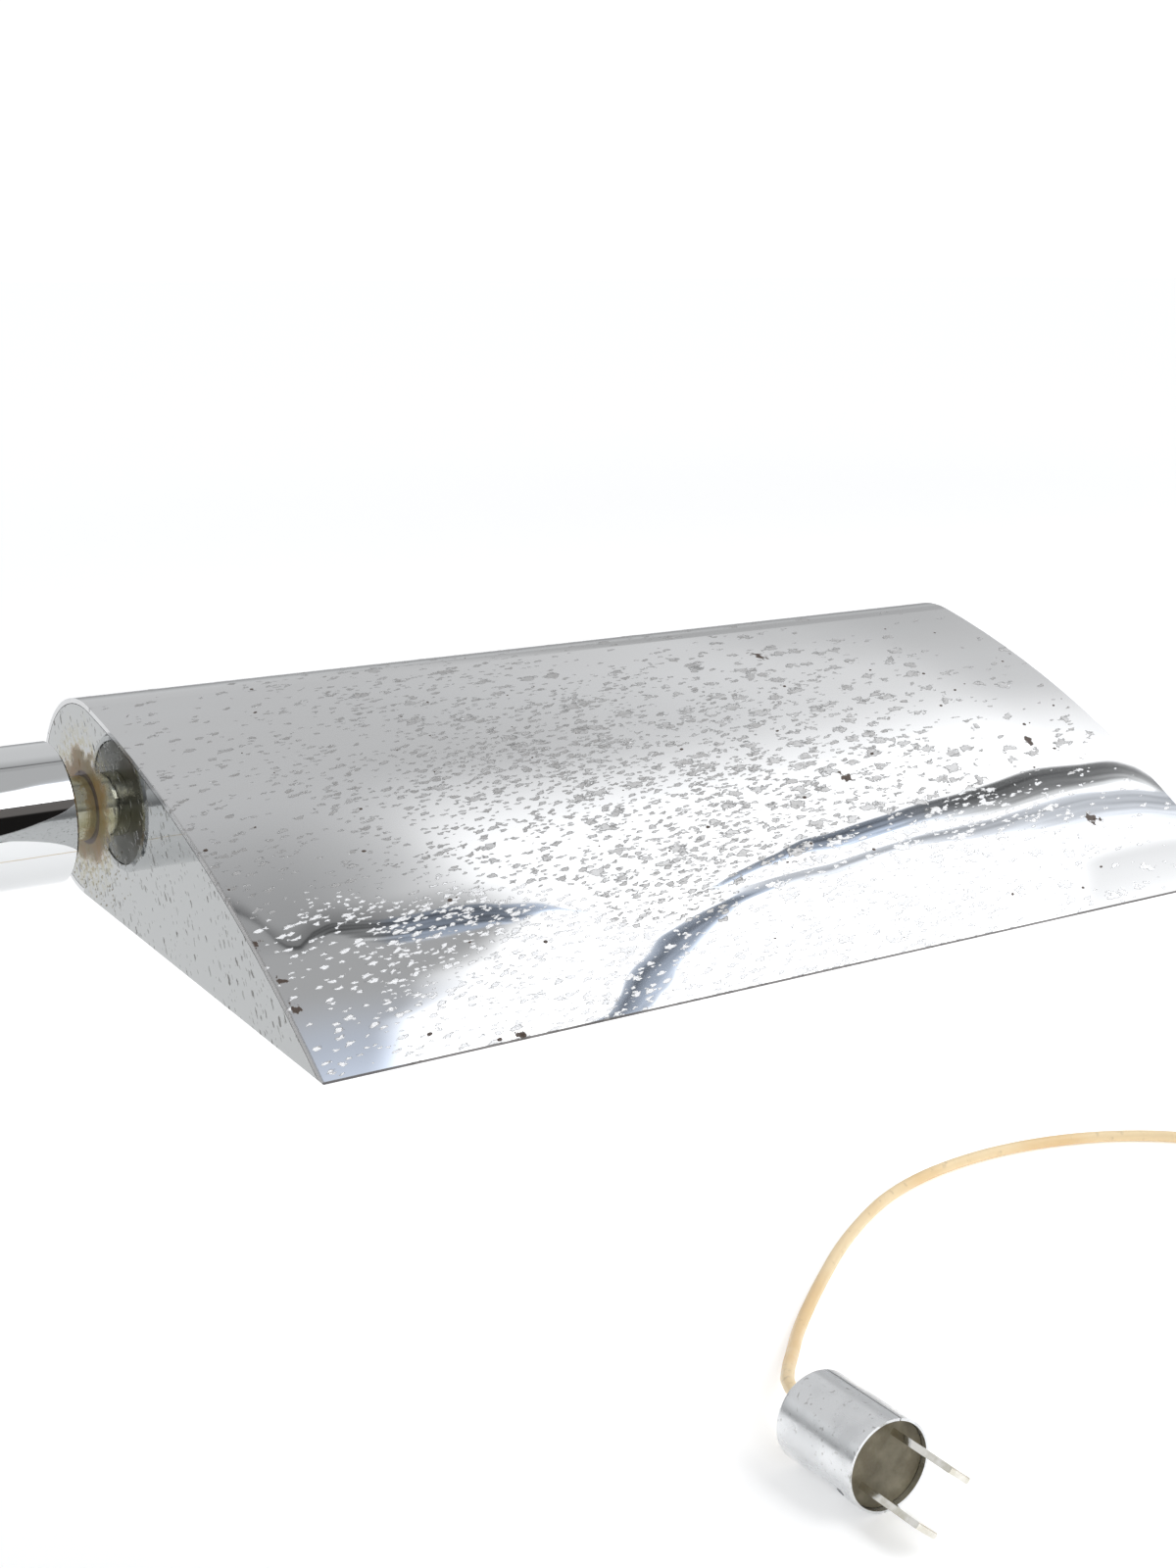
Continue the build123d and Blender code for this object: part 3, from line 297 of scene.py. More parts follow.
def streak(tree, under, tint, share, base, colour, along, off, strength, inside):
    """Lays one dark streak over the light: its level, its colour, and its fine lengthwise lines."""
    lines_at = shader_node(tree, "CombineXYZ", {0: times(tree, along, 7.0), 1: times(tree, off, 130.0)})
    lines = cloud(tree, lines_at.outputs[0], 1.0, 3.0)
    toned = times(tree, base, stepped(tree, lines, 0.3, 0.7, 1.0 - strength, 1.0 + strength))
    shown = times(tree, inside, stepped(tree, share, -0.02, 0.03), stepped(tree, share, 1.04, 0.90))
    return chosen(tree, shown, under, toned), blended(tree, shown, tint, colour)


NAVY = (0.78, 0.89, 1.08, 1)
GREY = (0.97, 0.985, 1.0, 1)
SLATE = (0.93, 0.97, 1.04, 1)
# Each streak is drawn by graphs: where its edge lies on the panel and how deep it is, in metres,
# and its level, which follows the share of the way through it.
# The window's head: a dark bar that pales to the front, and thins to the left.
bar_top = drawn(tree, across, (0.86, -0.014), (0.90, 0.018), (0.93, 0.038), (0.957, 0.055), (1.0, 0.066),
                (1.065, 0.092), (1.14, 0.113), (1.215, 0.121), (1.258, 0.112), (1.285, 0.070),
                (1.32, 0.0))
bar_depth = drawn(tree, across, (0.86, 0.012), (0.90, 0.018), (0.93, 0.026), (0.957, 0.034), (1.0, 0.046),
                  (1.065, 0.060), (1.14, 0.072), (1.215, 0.070), (1.32, 0.055))
bar_off = worked(tree, "SUBTRACT", bar_top, deep)
bar_share = worked(tree, "DIVIDE", bar_off, bar_depth)
bar_base = times(tree, drawn(tree, bar_share, (0.0, 0.16), (0.12, 0.21), (0.42, 0.25), (0.60, 0.48),
                             (0.80, 0.85), (1.0, 1.5)),
                 drawn(tree, across, (0.86, 2.6), (0.90, 1.9), (0.93, 1.5), (0.99, 1.2), (1.06, 1.7),
                       (1.13, 0.8), (1.21, 0.75), (1.26, 1.2), (1.32, 2.2)))
bar_colour = blended(tree, stepped(tree, across, 1.02, 1.13), NAVY, GREY)
level, tint = streak(tree, level, tint, bar_share, bar_base, bar_colour, across, bar_off, 0.45,
                     stepped(tree, across, 0.86, 0.885))
# A paler rail below the bar.
rail_top = drawn(tree, across, (0.90, -0.020), (0.948, -0.016), (0.99, -0.008), (1.05, 0.012),
                 (1.125, 0.030), (1.20, 0.043), (1.27, 0.024), (1.32, 0.010))
rail_depth = drawn(tree, across, (0.90, 0.026), (0.99, 0.028), (1.05, 0.024), (1.125, 0.050),
                   (1.20, 0.078), (1.32, 0.085))
rail_off = worked(tree, "SUBTRACT", rail_top, deep)
rail_share = worked(tree, "DIVIDE", rail_off, rail_depth)
rail_base = drawn(tree, rail_share, (0.0, 1.1), (0.15, 0.78), (0.35, 0.72), (0.55, 1.0), (1.0, 1.7))
level, tint = streak(tree, level, tint, rail_share, rail_base, SLATE, across, rail_off, 0.25,
                     stepped(tree, across, 0.86, 0.92))
# The window's side: a navy curtain edge that swings out to the left in front.
side_left = drawn(tree, deep, (-0.235, 0.63), (-0.226, 0.71), (-0.218, 0.765), (-0.210, 0.790),
                  (-0.187, 0.806), (-0.13, 0.824), (-0.08, 0.840), (-0.05, 0.866), (-0.02, 0.91))
side_width = drawn(tree, deep, (-0.235, 0.055), (-0.218, 0.045), (-0.187, 0.036), (-0.13, 0.033),
                   (-0.08, 0.034), (-0.05, 0.037), (-0.02, 0.045))
side_off = worked(tree, "SUBTRACT", across, side_left)
side_share = worked(tree, "DIVIDE", side_off, side_width)
side_base = drawn(tree, side_share, (0.0, 0.48), (0.5, 0.38), (0.8, 0.80), (1.0, 1.4))
level, tint = streak(tree, level, tint, side_share, side_base, NAVY, deep, side_off, 0.5,
                     times(tree, stepped(tree, deep, -0.240, -0.230), stepped(tree, deep, -0.025, -0.045)))
# The ceiling's dark joint over the arm's end, which spreads to a navy smear at the window's corner.
joint_top = drawn(tree, across, (0.565, 0.13), (0.573, 0.092), (0.576, 0.058), (0.581, 0.036),
                  (0.589, 0.028), (0.595, 0.034), (0.606, 0.052), (0.617, 0.063), (0.629, 0.068),
                  (0.653, 0.058), (0.697, 0.052), (0.723, 0.044), (0.761, 0.023), (0.81, -0.012))
joint_depth = drawn(tree, across, (0.565, 0.016), (0.589, 0.010), (0.606, 0.015), (0.629, 0.034),
                    (0.66, 0.060), (0.70, 0.054), (0.735, 0.036), (0.765, 0.010), (0.81, 0.006))
joint_off = worked(tree, "SUBTRACT", joint_top, deep)
joint_share = worked(tree, "DIVIDE", joint_off, joint_depth)
joint_shade = times(tree, stepped(tree, joint_off, -0.055, 0.0), stepped(tree, joint_off, 0.03, 0.0),
                    stepped(tree, across, 0.76, 0.70), -0.42)
level = times(tree, level, summed(tree, 1.0, joint_shade))
joint_base = times(tree, drawn(tree, joint_share, (0.0, 0.13), (0.3, 0.10), (0.75, 0.15), (1.0, 0.35)),
                   drawn(tree, across, (0.45, 0.8), (0.55, 1.0), (0.572, 1.4), (0.589, 0.8), (0.61, 1.3),
                         (0.63, 1.8), (0.66, 2.8), (0.69, 2.7), (0.715, 2.2), (0.74, 4.5), (0.81, 9.0)))
joint_colour = blended(tree, stepped(tree, across, 0.645, 0.67), GREY, NAVY)
level, tint = streak(tree, level, tint, joint_share, joint_base, joint_colour, across, joint_off, 0.7,
                     stepped(tree, across, 0.81, 0.79))
emission = shader_node(tree, "Emission", {"Color": tint, "Strength": level})
shader_node(tree, "OutputMaterial", {"Surface": emission.outputs[0]})
panel.data.materials.append(panel_glow)

# Two narrow dark boards face the set from the front, as the dark end of the room beyond the table: painted
# shade, seen only in reflections. The large one leans a little, its upper part is paler, and both fade out
# at their ends.
dark_room_shade = bpy.data.materials.new("dark_room_shade")
dark_room_shade.use_nodes = True
tree = dark_room_shade.node_tree
tree.nodes.clear()
parts = shader_node(tree, "SeparateXYZ", {0: shader_node(tree, "TexCoord").outputs["Object"]})
dark = stepped(tree, parts.outputs["Z"], 0.28, 0.31, 0.012, 0.16)
tone = shader_node(tree, "Emission", {"Color": (1.0, 0.93, 0.89, 1), "Strength": dark})
kept = times(tree, stepped(tree, parts.outputs["X"], 0.16, 0.24),
             stepped(tree, parts.outputs["X"], 0.62, 0.50))
faded = shader_node(tree, "MixShader", {0: kept, 1: shader_node(tree, "BsdfTransparent").outputs[0],
                                        2: tone.outputs[0]})
shader_node(tree, "OutputMaterial", {"Surface": faded.outputs[0]})
BOARD_MIDDLE = 0.39
BOARD_WIDTH = 0.48
boards = []
for name, foot, head in (("studio_board", (-0.41, 0.0), (-0.46, 0.43)),
                         ("studio_rail", (-0.46, 0.493), (-0.46, 0.501))):
    lean = math.atan2(head[1] - foot[1], head[0] - foot[0])
    middle = (BOARD_MIDDLE, (foot[0] + head[0]) / 2, (foot[1] + head[1]) / 2)
    bpy.ops.mesh.primitive_plane_add(size=1, location=middle, rotation=(lean, 0, 0))
    board = bpy.context.object
    board.name = name
    board.scale = (BOARD_WIDTH, math.dist(foot, head), 1)
    bpy.ops.object.transform_apply()
    board.data.materials.append(dark_room_shade)
    board.visible_diffuse = False
    boards.append(board)
for card in (panel, *boards):
    card.visible_camera = False
    card.visible_shadow = False

studio_air = bpy.data.worlds.new("studio_air")
bpy.context.scene.world = studio_air
studio_air.use_nodes = True
tree = studio_air.node_tree
tree.nodes.clear()
heading = shader_node(tree, "TexCoord").outputs["Generated"]
rise = shader_node(tree, "SeparateXYZ", {0: heading}).outputs["Z"]
# The walls are darker low down, so that bright metal has something to mirror from every side.
grey = drawn(tree, rise, (-0.10, 0.90), (0.0, 0.62), (0.05, 0.34), (0.14, 0.42), (0.35, 0.74), (1.0, 0.80))
air = shader_node(tree, "CombineColor", {0: times(tree, grey, 0.985), 1: grey,
                                         2: times(tree, grey, 1.015)}).outputs[0]
room = shader_node(tree, "Background", {"Color": air, "Strength": 1.0})
white = shader_node(tree, "Background", {"Color": (1, 1, 1, 1), "Strength": 1.1})
seen = shader_node(tree, "LightPath").outputs["Is Camera Ray"]
mixed = shader_node(tree, "MixShader", {0: seen, 1: room.outputs[0], 2: white.outputs[0]})
shader_node(tree, "OutputWorld", {"Surface": mixed.outputs[0]})


# ---------------------------------------------------------------- plating

# The plated parts share three effects: pits where the plating has lifted, a slow waviness from
# buffing, and hairline scuffs. Each material places them with its own values.
def start_group(name, inputs, outputs):
    """An empty shader group with its sockets. Returns the tree, its input node and its output node."""
    group = bpy.data.node_groups.new(name, "ShaderNodeTree")
    for title, kind, value in inputs:
        socket = group.interface.new_socket(name=title, in_out="INPUT", socket_type="NodeSocket" + kind)
        if value is not None:
            socket.default_value = value
    for title, kind in outputs:
        group.interface.new_socket(name=title, in_out="OUTPUT", socket_type="NodeSocket" + kind)
    return group, group.nodes.new("NodeGroupInput"), group.nodes.new("NodeGroupOutput")


def place_group(tree, group, wires):
    """A shader group placed in a material, with its inputs set or wired."""
    made = tree.nodes.new("ShaderNodeGroup")
    made.node_tree = group
    for socket, source in wires.items():
        if isinstance(source, bpy.types.NodeSocket):
            tree.links.new(source, made.inputs[socket])
        else:
            made.inputs[socket].default_value = source
    return made.outputs


pitting, given, result = start_group(
    "plating_pits",
    [("Vector", "Vector", None), ("Size", "Float", 1.0), ("Density", "Float", 0.5),
     ("Ragged", "Float", 0.5), ("Bend", "Float", 0.8)],
    [("Mask", "Float"), ("Shade Rim", "Float"), ("Tone", "Float")],
)
# Each pit sits in a cell of a flat grid. Its outline is bent and ragged, and a dark rim is painted along
# its low side as painted shade at the pit's edge.
ragged = shader_node(pitting, "TexNoise", {"Vector": given.outputs["Vector"], "Scale": 2.3, "Detail": 2.0},
                     noise_dimensions="2D")
swing = shader_node(pitting, "VectorMath", {0: ragged.outputs["Color"], 1: (0.5, 0.5, 0.5)},
                    operation="SUBTRACT")
swing = shader_node(pitting, "VectorMath", {0: swing.outputs[0]}, operation="SCALE")
pitting.links.new(given.outputs["Ragged"], swing.inputs["Scale"])
moved = shader_node(pitting, "VectorMath", {0: given.outputs["Vector"], 1: swing.outputs[0]},
                    operation="ADD")
cells = shader_node(pitting, "TexVoronoi", {"Vector": moved.outputs[0], "Scale": 1.0},
                    voronoi_dimensions="2D")
from_middle = shader_node(pitting, "VectorMath", {0: moved.outputs[0], 1: cells.outputs["Position"]},
                          operation="SUBTRACT")
parts = shader_node(pitting, "SeparateXYZ", {0: from_middle.outputs[0]})
draws = shader_node(pitting, "SeparateColor", {0: cells.outputs["Color"]})
bow = times(pitting, parts.outputs["X"], parts.outputs["X"], given.outputs["Bend"],
            stepped(pitting, draws.outputs[2], 0.3, 0.7, -1.0, 1.0))
bent = times(pitting, summed(pitting, parts.outputs["Y"], bow), 1.5)
flat = shader_node(pitting, "CombineXYZ", {0: parts.outputs["X"], 1: bent})
off = shader_node(pitting, "VectorMath", {0: flat.outputs[0]}, operation="LENGTH").outputs["Value"]
reach = times(pitting, stepped(pitting, draws.outputs[0], 0.0, 1.0, 0.16, 0.44), given.outputs["Size"])
share = worked(pitting, "DIVIDE", off, reach)
kept = worked(pitting, "LESS_THAN", draws.outputs[1], given.outputs["Density"])
mask = times(pitting, stepped(pitting, share, 1.0, 0.72), kept)
shaded_rim = times(pitting, stepped(pitting, share, 1.35, 1.05), stepped(pitting, share, 0.62, 0.92),
            stepped(pitting, worked(pitting, "DIVIDE", bent, reach), 0.45, -0.25), kept)
pitting.links.new(mask, result.inputs["Mask"])
pitting.links.new(shaded_rim, result.inputs["Shade Rim"])
pitting.links.new(draws.outputs[2], result.inputs["Tone"])

buffing, given, result = start_group(
    "buffing_wave",
    [("Vector", "Vector", None), ("Scale", "Float", 22.0)],
    [("Height", "Float")],
)
wave = shader_node(buffing, "TexNoise", {"Vector": given.outputs["Vector"],
                                         "Scale": given.outputs["Scale"], "Detail": 1.0})
buffing.links.new(wave.outputs["Fac"], result.inputs["Height"])

scuffing, given, result = start_group(
    "hairline_scuffs",
    [("Vector", "Vector", None), ("Scale", "Float", 300.0), ("Amount", "Float", 0.2)],
    [("Mask", "Float")],
)
stretch = shader_node(scuffing, "Mapping", {"Vector": given.outputs["Vector"], "Scale": (0.06, 1.0, 1.0),
                                            "Rotation": (0.2, 0.3, 0.5)})
hair = shader_node(scuffing, "TexNoise", {"Vector": stretch.outputs[0], "Scale": given.outputs["Scale"],
                                          "Detail": 3.0})
line = stepped(scuffing, hair.outputs["Fac"], 0.56, 0.72)
patch = stepped(scuffing, cloud(scuffing, given.outputs["Vector"], 18.0), 0.35, 0.65)
scuffing.links.new(times(scuffing, line, patch, given.outputs["Amount"]), result.inputs["Mask"])


def chrome_finish(name, colour, gloss, speck_density=0.05):
    """Polished chrome plate with a few small pits and scuffs, for the parts that wore well."""
    finish = new_finish(name, colour, gloss, 1.0)
    tree = finish.node_tree
    place = shader_node(tree, "TexCoord").outputs["Object"]
    cells = shader_node(tree, "TexVoronoi", {"Vector": place, "Scale": 420.0})
    draws = shader_node(tree, "SeparateColor", {0: cells.outputs["Color"]})
    speck = worked(tree, "LESS_THAN", draws.outputs[0], speck_density)
    marked = times(tree, speck, stepped(tree, cells.outputs["Distance"], 0.22, 0.14),
                   stepped(tree, draws.outputs[1], 0.0, 1.0, 0.4, 1.0))
    scuffs = place_group(tree, scuffing, {"Vector": place, "Scale": 900.0, "Amount": 1.0})["Mask"]
    waves = place_group(tree, buffing, {"Vector": place, "Scale": 60.0})["Height"]
    dull = tuple(0.25 * part for part in colour)
    tone = blended(tree, marked, (*colour, 1), (*dull, 1))
    rough = summed(tree, times(tree, scuffs, 0.10), times(tree, marked, 0.35), gloss)
    height = summed(tree, waves, times(tree, marked, -0.10))
    wire_shader(finish, Base_Color=tone, Roughness=rough, Normal=raised(tree, height, 0.4, 0.0004))
    return finish


plate_chrome = chrome_finish("plate_chrome", (0.74, 0.75, 0.755), 0.03)


def dress(finish, *names):
    """Gives CAD nodes a material."""
    for name in names:
        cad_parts[name].material_slots[0].material = finish


dress(plate_chrome, "base_cover", "stem_ring", "stem_tube", "knuckle_body", "knuckle_cap", "arm_collar",
      "arm_tube", "switch_housing", "switch_knob")


# ---------------------------------------------------------------- shade sheet

# The shade is one sheet of steel, rolled round the back and over the crown, and chrome plated.
# The plating has pitted all over, with a few rust spots, and the top has gone hazy.
CROWN_RADIUS = 0.2045
CROWN_MIDDLE = (0.0503, -0.0109)
ROLL_RADIUS = 0.01575
ROLL_MIDDLE = (0.0009, 0.1713)
CREST_ANGLE = math.radians(15.17)
wrap_chrome = new_finish("wrap_chrome", (0.66, 0.67, 0.68), 0.05, 1.0)
tree = wrap_chrome.node_tree
place = shader_node(tree, "TexCoord").outputs["Object"]
parts = shader_node(tree, "SeparateXYZ", {0: place})
sheet_x = parts.outputs["X"]


def swung(tree, middle):
    """The angle of the sheet about an axis along X, from straight up towards the front."""
    forward = worked(tree, "SUBTRACT", middle[0], parts.outputs["Y"])
    above = worked(tree, "SUBTRACT", parts.outputs["Z"], middle[1])
    return worked(tree, "ARCTAN2", forward, above)


# The way down the sheet, measured round its bend from the crest, in metres. It is negative behind.
over_crown = times(tree, summed(tree, swung(tree, CROWN_MIDDLE), -CREST_ANGLE), CROWN_RADIUS)
round_roll = times(tree, summed(tree, swung(tree, ROLL_MIDDLE), -CREST_ANGLE), ROLL_RADIUS)
down = chosen(tree, worked(tree, "GREATER_THAN", over_crown, 0.0), round_roll, over_crown)
spread = shader_node(tree, "CombineXYZ", {0: sheet_x, 1: down}).outputs[0]


def out_from(tree, middle):
    """The distance of the sheet from an axis along X."""
    arm = shader_node(tree, "CombineXYZ", {0: worked(tree, "SUBTRACT", parts.outputs["Y"], middle[0]),
                                           1: worked(tree, "SUBTRACT", parts.outputs["Z"], middle[1])})
    return shader_node(tree, "VectorMath", {0: arm.outputs[0]}, operation="LENGTH").outputs["Value"]


# The pits are in the outer face only. The inner face lies one thickness of sheet further in.
past_outer = chosen(tree, worked(tree, "GREATER_THAN", over_crown, 0.0),
                    summed(tree, out_from(tree, ROLL_MIDDLE), -ROLL_RADIUS),
                    summed(tree, out_from(tree, CROWN_MIDDLE), -CROWN_RADIUS))
outer = stepped(tree, past_outer, -0.0006, -0.0003)


def grid_on(tree, flat, turn, wide, high, shift=0.0):
    """A flat place turned and scaled to cells of wide by high metres."""
    turned = shader_node(tree, "Mapping", {"Vector": flat, "Rotation": (0, 0, turn)}).outputs[0]
    return shader_node(tree, "Mapping", {"Vector": turned, "Scale": (1 / wide, 1 / high, 1),
                                         "Location": (shift, shift, 0)}).outputs[0]


def pits(tree, grid, size, density, ragged, bend):
    """A layer of pits on a grid of cells: their mask, their rims and their tones."""
    return place_group(tree, pitting, {"Vector": grid, "Size": size, "Density": density, "Ragged": ragged,
                                       "Bend": bend})


def uneven(tree, place, scale, reach):
    """A slow wander either way, up to reach metres, that makes an edge ragged."""
    return times(tree, stepped(tree, cloud(tree, place, scale), 0.3, 0.7, -1.0, 1.0), reach)


drift = stepped(tree, cloud(tree, place, 75), 0.35, 0.66, 0.55, 1.2)
jitter = uneven(tree, place, 90, 0.003)
# The low edge parts the pits painted white below it, as painted light, from those painted dark above it.
low_edge = drawn(tree, sheet_x, (0.188, 0.0545), (0.203, 0.0557), (0.2325, 0.0580), (0.242, 0.0650),
                 (0.257, 0.0715), (0.278, 0.0669), (0.291, 0.0626), (0.316, 0.0576), (0.341, 0.0551),
                 (0.370, 0.0545))
lower = stepped(tree, summed(tree, worked(tree, "SUBTRACT", down, low_edge), jitter), -0.0015, 0.0015)
top_x = drawn(tree, sheet_x, (0.190, 0.22), (0.215, 0.45), (0.240, 0.85), (0.275, 0.82), (0.295, 0.42),
              (0.315, 0.20), (0.340, 0.08), (0.352, 0.05), (0.368, 0.03))
top_down = drawn(tree, down, (-0.030, 0.10), (-0.004, 0.30), (0.012, 0.62), (0.030, 0.90), (0.056, 1.0))
low_x = drawn(tree, sheet_x, (0.188, 0.10), (0.200, 0.45), (0.215, 0.95), (0.245, 0.95), (0.262, 0.75),
              (0.290, 0.60), (0.330, 0.45), (0.352, 0.15), (0.368, 0.05))
density = chosen(tree, lower, times(tree, top_x, top_down, drift), times(tree, low_x, drift))
fine = pits(tree, grid_on(tree, spread, 0.22, 0.0023, 0.0012), 1.0, density, 0.55, 1.1)
finer = pits(tree, grid_on(tree, spread, 0.05, 0.0016, 0.0008, 7.3), 0.95, times(tree, density, 0.65), 0.6,
             1.2)
coarse_x = drawn(tree, sheet_x, (0.215, 0.0), (0.245, 0.20), (0.270, 0.45), (0.295, 0.70), (0.320, 0.72),
                 (0.340, 0.40), (0.352, 0.15), (0.368, 0.03))
coarse_down = drawn(tree, down, (-0.004, 0.1), (0.010, 0.7), (0.020, 1.0), (0.056, 1.0), (0.068, 0.5))
coarse = pits(tree, grid_on(tree, spread, 0.12, 0.0040, 0.0025, 3.1), 1.05,
              times(tree, coarse_x, coarse_down), 0.9, 0.9)
specks = pits(tree, grid_on(tree, spread, 0.4, 0.0070, 0.0070), 0.17, 0.17, 0.10, 0.0)["Mask"]

any_pit = worked(tree, "MAXIMUM", fine["Mask"], times(tree, finer["Mask"], 0.85))
any_pit = times(tree, outer, worked(tree, "MAXIMUM", any_pit, times(tree, coarse["Mask"], 0.85)))
any_shade_rim = worked(tree, "MAXIMUM", worked(tree, "MAXIMUM", fine["Shade Rim"], finer["Shade Rim"]), coarse["Shade Rim"])
# The pits are one bare finish, painted in two tones by how they catch the light: dark in the upper part as
# painted shade, white below the low edge as painted light.
upper = worked(tree, "SUBTRACT", 1.0, lower)
shaded_pits = times(tree, any_pit, upper, stepped(tree, fine["Tone"], 0.0, 1.0, 0.6, 1.0))
lit_pits = times(tree, any_pit, lower)
# Painted shade: the pits' dark rims, stronger in the lower part.
shade_rims = times(tree, outer, any_shade_rim, chosen(tree, lower, 0.62,
                                          times(tree, stepped(tree, sheet_x, 0.250, 0.225), 0.40)))


def stain(tree, place, centre, radius, ragged=0.0007):
    """A ragged round spot at a place on the piece."""
    off = shader_node(tree, "VectorMath", {0: place, 1: centre}, operation="DISTANCE").outputs["Value"]
    rough_edge = uneven(tree, place, 900, ragged)
    return stepped(tree, summed(tree, off, rough_edge), radius, 0.6 * radius)


rust = times(tree, outer, specks)
for centre, radius in (((0.3137, -0.0128, 0.1836), 0.0013), ((0.3049, -0.0471, 0.1689), 0.0012),
                       ((0.3475, -0.0633, 0.1592), 0.0014), ((0.3490, -0.0460, 0.1695), 0.0012),
                       ((0.1908, -0.0585, 0.1623), 0.0006), ((0.1912, -0.0640, 0.1588), 0.0006),
                       ((0.1912, -0.0680, 0.1559), 0.0007), ((0.2206, -0.0775, 0.1488), 0.0007)):
    rust = worked(tree, "MAXIMUM", rust, stain(tree, place, centre, radius))

haze = times(tree, stepped(tree, down, 0.062, 0.020),
             stepped(tree, cloud(tree, place, 45), 0.2, 0.8, 0.7, 1.0))
streaks = shader_node(tree, "Mapping", {"Vector": place, "Scale": (0.15, 1, 1)}).outputs[0]
bloom = stepped(tree, cloud(tree, streaks, 130), 0.3, 0.75)
metal = blended(tree, times(tree, haze, bloom, 0.30), (0.66, 0.665, 0.67, 1), (0.61, 0.605, 0.60, 1))
# Painted shade and painted light: the pits dark above and white below.
metal = blended(tree, shaded_pits, metal, (0.39, 0.385, 0.38, 1))
metal = blended(tree, lit_pits, metal, (0.93, 0.935, 0.95, 1))
# Painted shade: the dark rims along the pits' low sides.
metal = blended(tree, shade_rims, metal, (0.14, 0.14, 0.14, 1))
metal = blended(tree, rust, metal, (0.055, 0.032, 0.020, 1))
# The sheet's cut edges show as a thin dull line, along the front and round the near end. Along the front
# the line is also painted shade, where the edge faces down.
SHEET_START = 0.190
SHEET_END = 0.08449
near_edge = times(tree, stepped(tree, sheet_x, SHEET_START + 0.00035, SHEET_START + 0.0002),
                  stepped(tree, down, 0.010, 0.050), 0.55)
cut_line_and_shade = worked(tree, "MAXIMUM", stepped(tree, down, SHEET_END - 0.00045, SHEET_END - 0.00030), near_edge)
metal = blended(tree, cut_line_and_shade, metal, (0.13, 0.12, 0.115, 1))
bared = summed(tree, times(tree, shaded_pits, 0.25), lit_pits, times(tree, shade_rims, 0.6), rust, cut_line_and_shade)
plated = stepped(tree, bared, 0.0, 1.0, 1.0, 0.0)
rough = summed(tree, times(tree, haze, 0.12), times(tree, any_pit, 0.35), times(tree, rust, 0.4), 0.03)
waves = place_group(tree, buffing, {"Vector": place, "Scale": 24.0})["Height"]
height = summed(tree, waves, times(tree, any_pit, -0.25))
wire_shader(wrap_chrome, Base_Color=metal, Metallic=plated, Roughness=rough,
            Normal=raised(tree, height, 0.6, 0.0006))
dress(wrap_chrome, "shade_wrap")


# ---------------------------------------------------------------- end caps

# Each end of the shade is closed by a shallow pressed cap, plated with the sheet. The caps' chrome is
# painted darker than the sheet's, as painted shade on the flat ends. The near one has slanting pits and a
# ring of rust that has bled from the neck, with a painted reflection of the neck laid into the ring.
SHADED_CAP_METAL = (0.46, 0.47, 0.47)
cap_chrome = new_finish("cap_chrome", SHADED_CAP_METAL, 0.05, 1.0)
tree = cap_chrome.node_tree
place = shader_node(tree, "TexCoord").outputs["Object"]
parts = shader_node(tree, "SeparateXYZ", {0: place})
NECK_HEIGHT = 0.170
above = worked(tree, "SUBTRACT", parts.outputs["Z"], NECK_HEIGHT)
face_flat = shader_node(tree, "CombineXYZ", {0: parts.outputs["Y"], 1: above}).outputs[0]
from_neck = shader_node(tree, "VectorMath", {0: face_flat}, operation="LENGTH").outputs["Value"]
near_face = stepped(tree, parts.outputs["X"], 0.1915, 0.1905)
gather = stepped(tree, cloud(tree, place, 85), 0.36, 0.62, 0.12, 0.75)
dashes = pits(tree, grid_on(tree, face_flat, -1.15, 0.0026, 0.0014), 0.75, gather, 0.5, 0.6)
grains = pits(tree, grid_on(tree, face_flat, -0.9, 0.0013, 0.0009, 2.7), 0.75, times(tree, gather, 0.55),
              0.5, 0.3)
flecks = worked(tree, "MAXIMUM", times(tree, dashes["Mask"],
                                       stepped(tree, dashes["Tone"], 0.0, 1.0, 0.35, 1.0)),
                times(tree, grains["Mask"], 0.45))
ring_off = summed(tree, from_neck, uneven(tree, place, 300, 0.0012))
# The solid tan ring round the neck is partly rust and partly painted reflection of the neck.
rust_and_neck_reflection = times(tree, stepped(tree, ring_off, 0.0103, 0.0074), near_face)
speckled = times(tree, stepped(tree, ring_off, 0.0150, 0.0090), near_face,
                 stepped(tree, cloud(tree, place, 900, 2.0), 0.42, 0.58), 0.75)
neck_line = times(tree, stepped(tree, from_neck, 0.0060, 0.0056), near_face)
crumb_zone = times(tree, stepped(tree, from_neck, 0.021, 0.010), stepped(tree, above, -0.003, -0.0065),
                   0.85)
crumbs = pits(tree, grid_on(tree, face_flat, 0.5, 0.0011, 0.0008, 5.1), 0.95, crumb_zone, 0.8, 0.4)
metal = blended(tree, flecks, (*SHADED_CAP_METAL, 1), (0.16, 0.16, 0.15, 1))
metal = blended(tree, times(tree, crumbs["Mask"], near_face, 0.85), metal, (0.13, 0.11, 0.055, 1))
metal = blended(tree, speckled, metal, (0.44, 0.41, 0.28, 1))
tan_rust_and_reflection = blended(tree, stepped(tree, cloud(tree, place, 210), 0.35, 0.65), (0.42, 0.225, 0.055, 1),
                   (0.37, 0.27, 0.10, 1))
metal = blended(tree, times(tree, rust_and_neck_reflection, 0.95), metal, tan_rust_and_reflection)
metal = blended(tree, neck_line, metal, (0.06, 0.012, 0.006, 1))
bared = summed(tree, times(tree, rust_and_neck_reflection, 0.9), times(tree, speckled, 0.4), neck_line,
               times(tree, flecks, 0.5))
plated = stepped(tree, bared, 0.0, 1.0, 1.0, 0.0)
rough = summed(tree, times(tree, flecks, 0.3), times(tree, rust_and_neck_reflection, 0.30), 0.04)
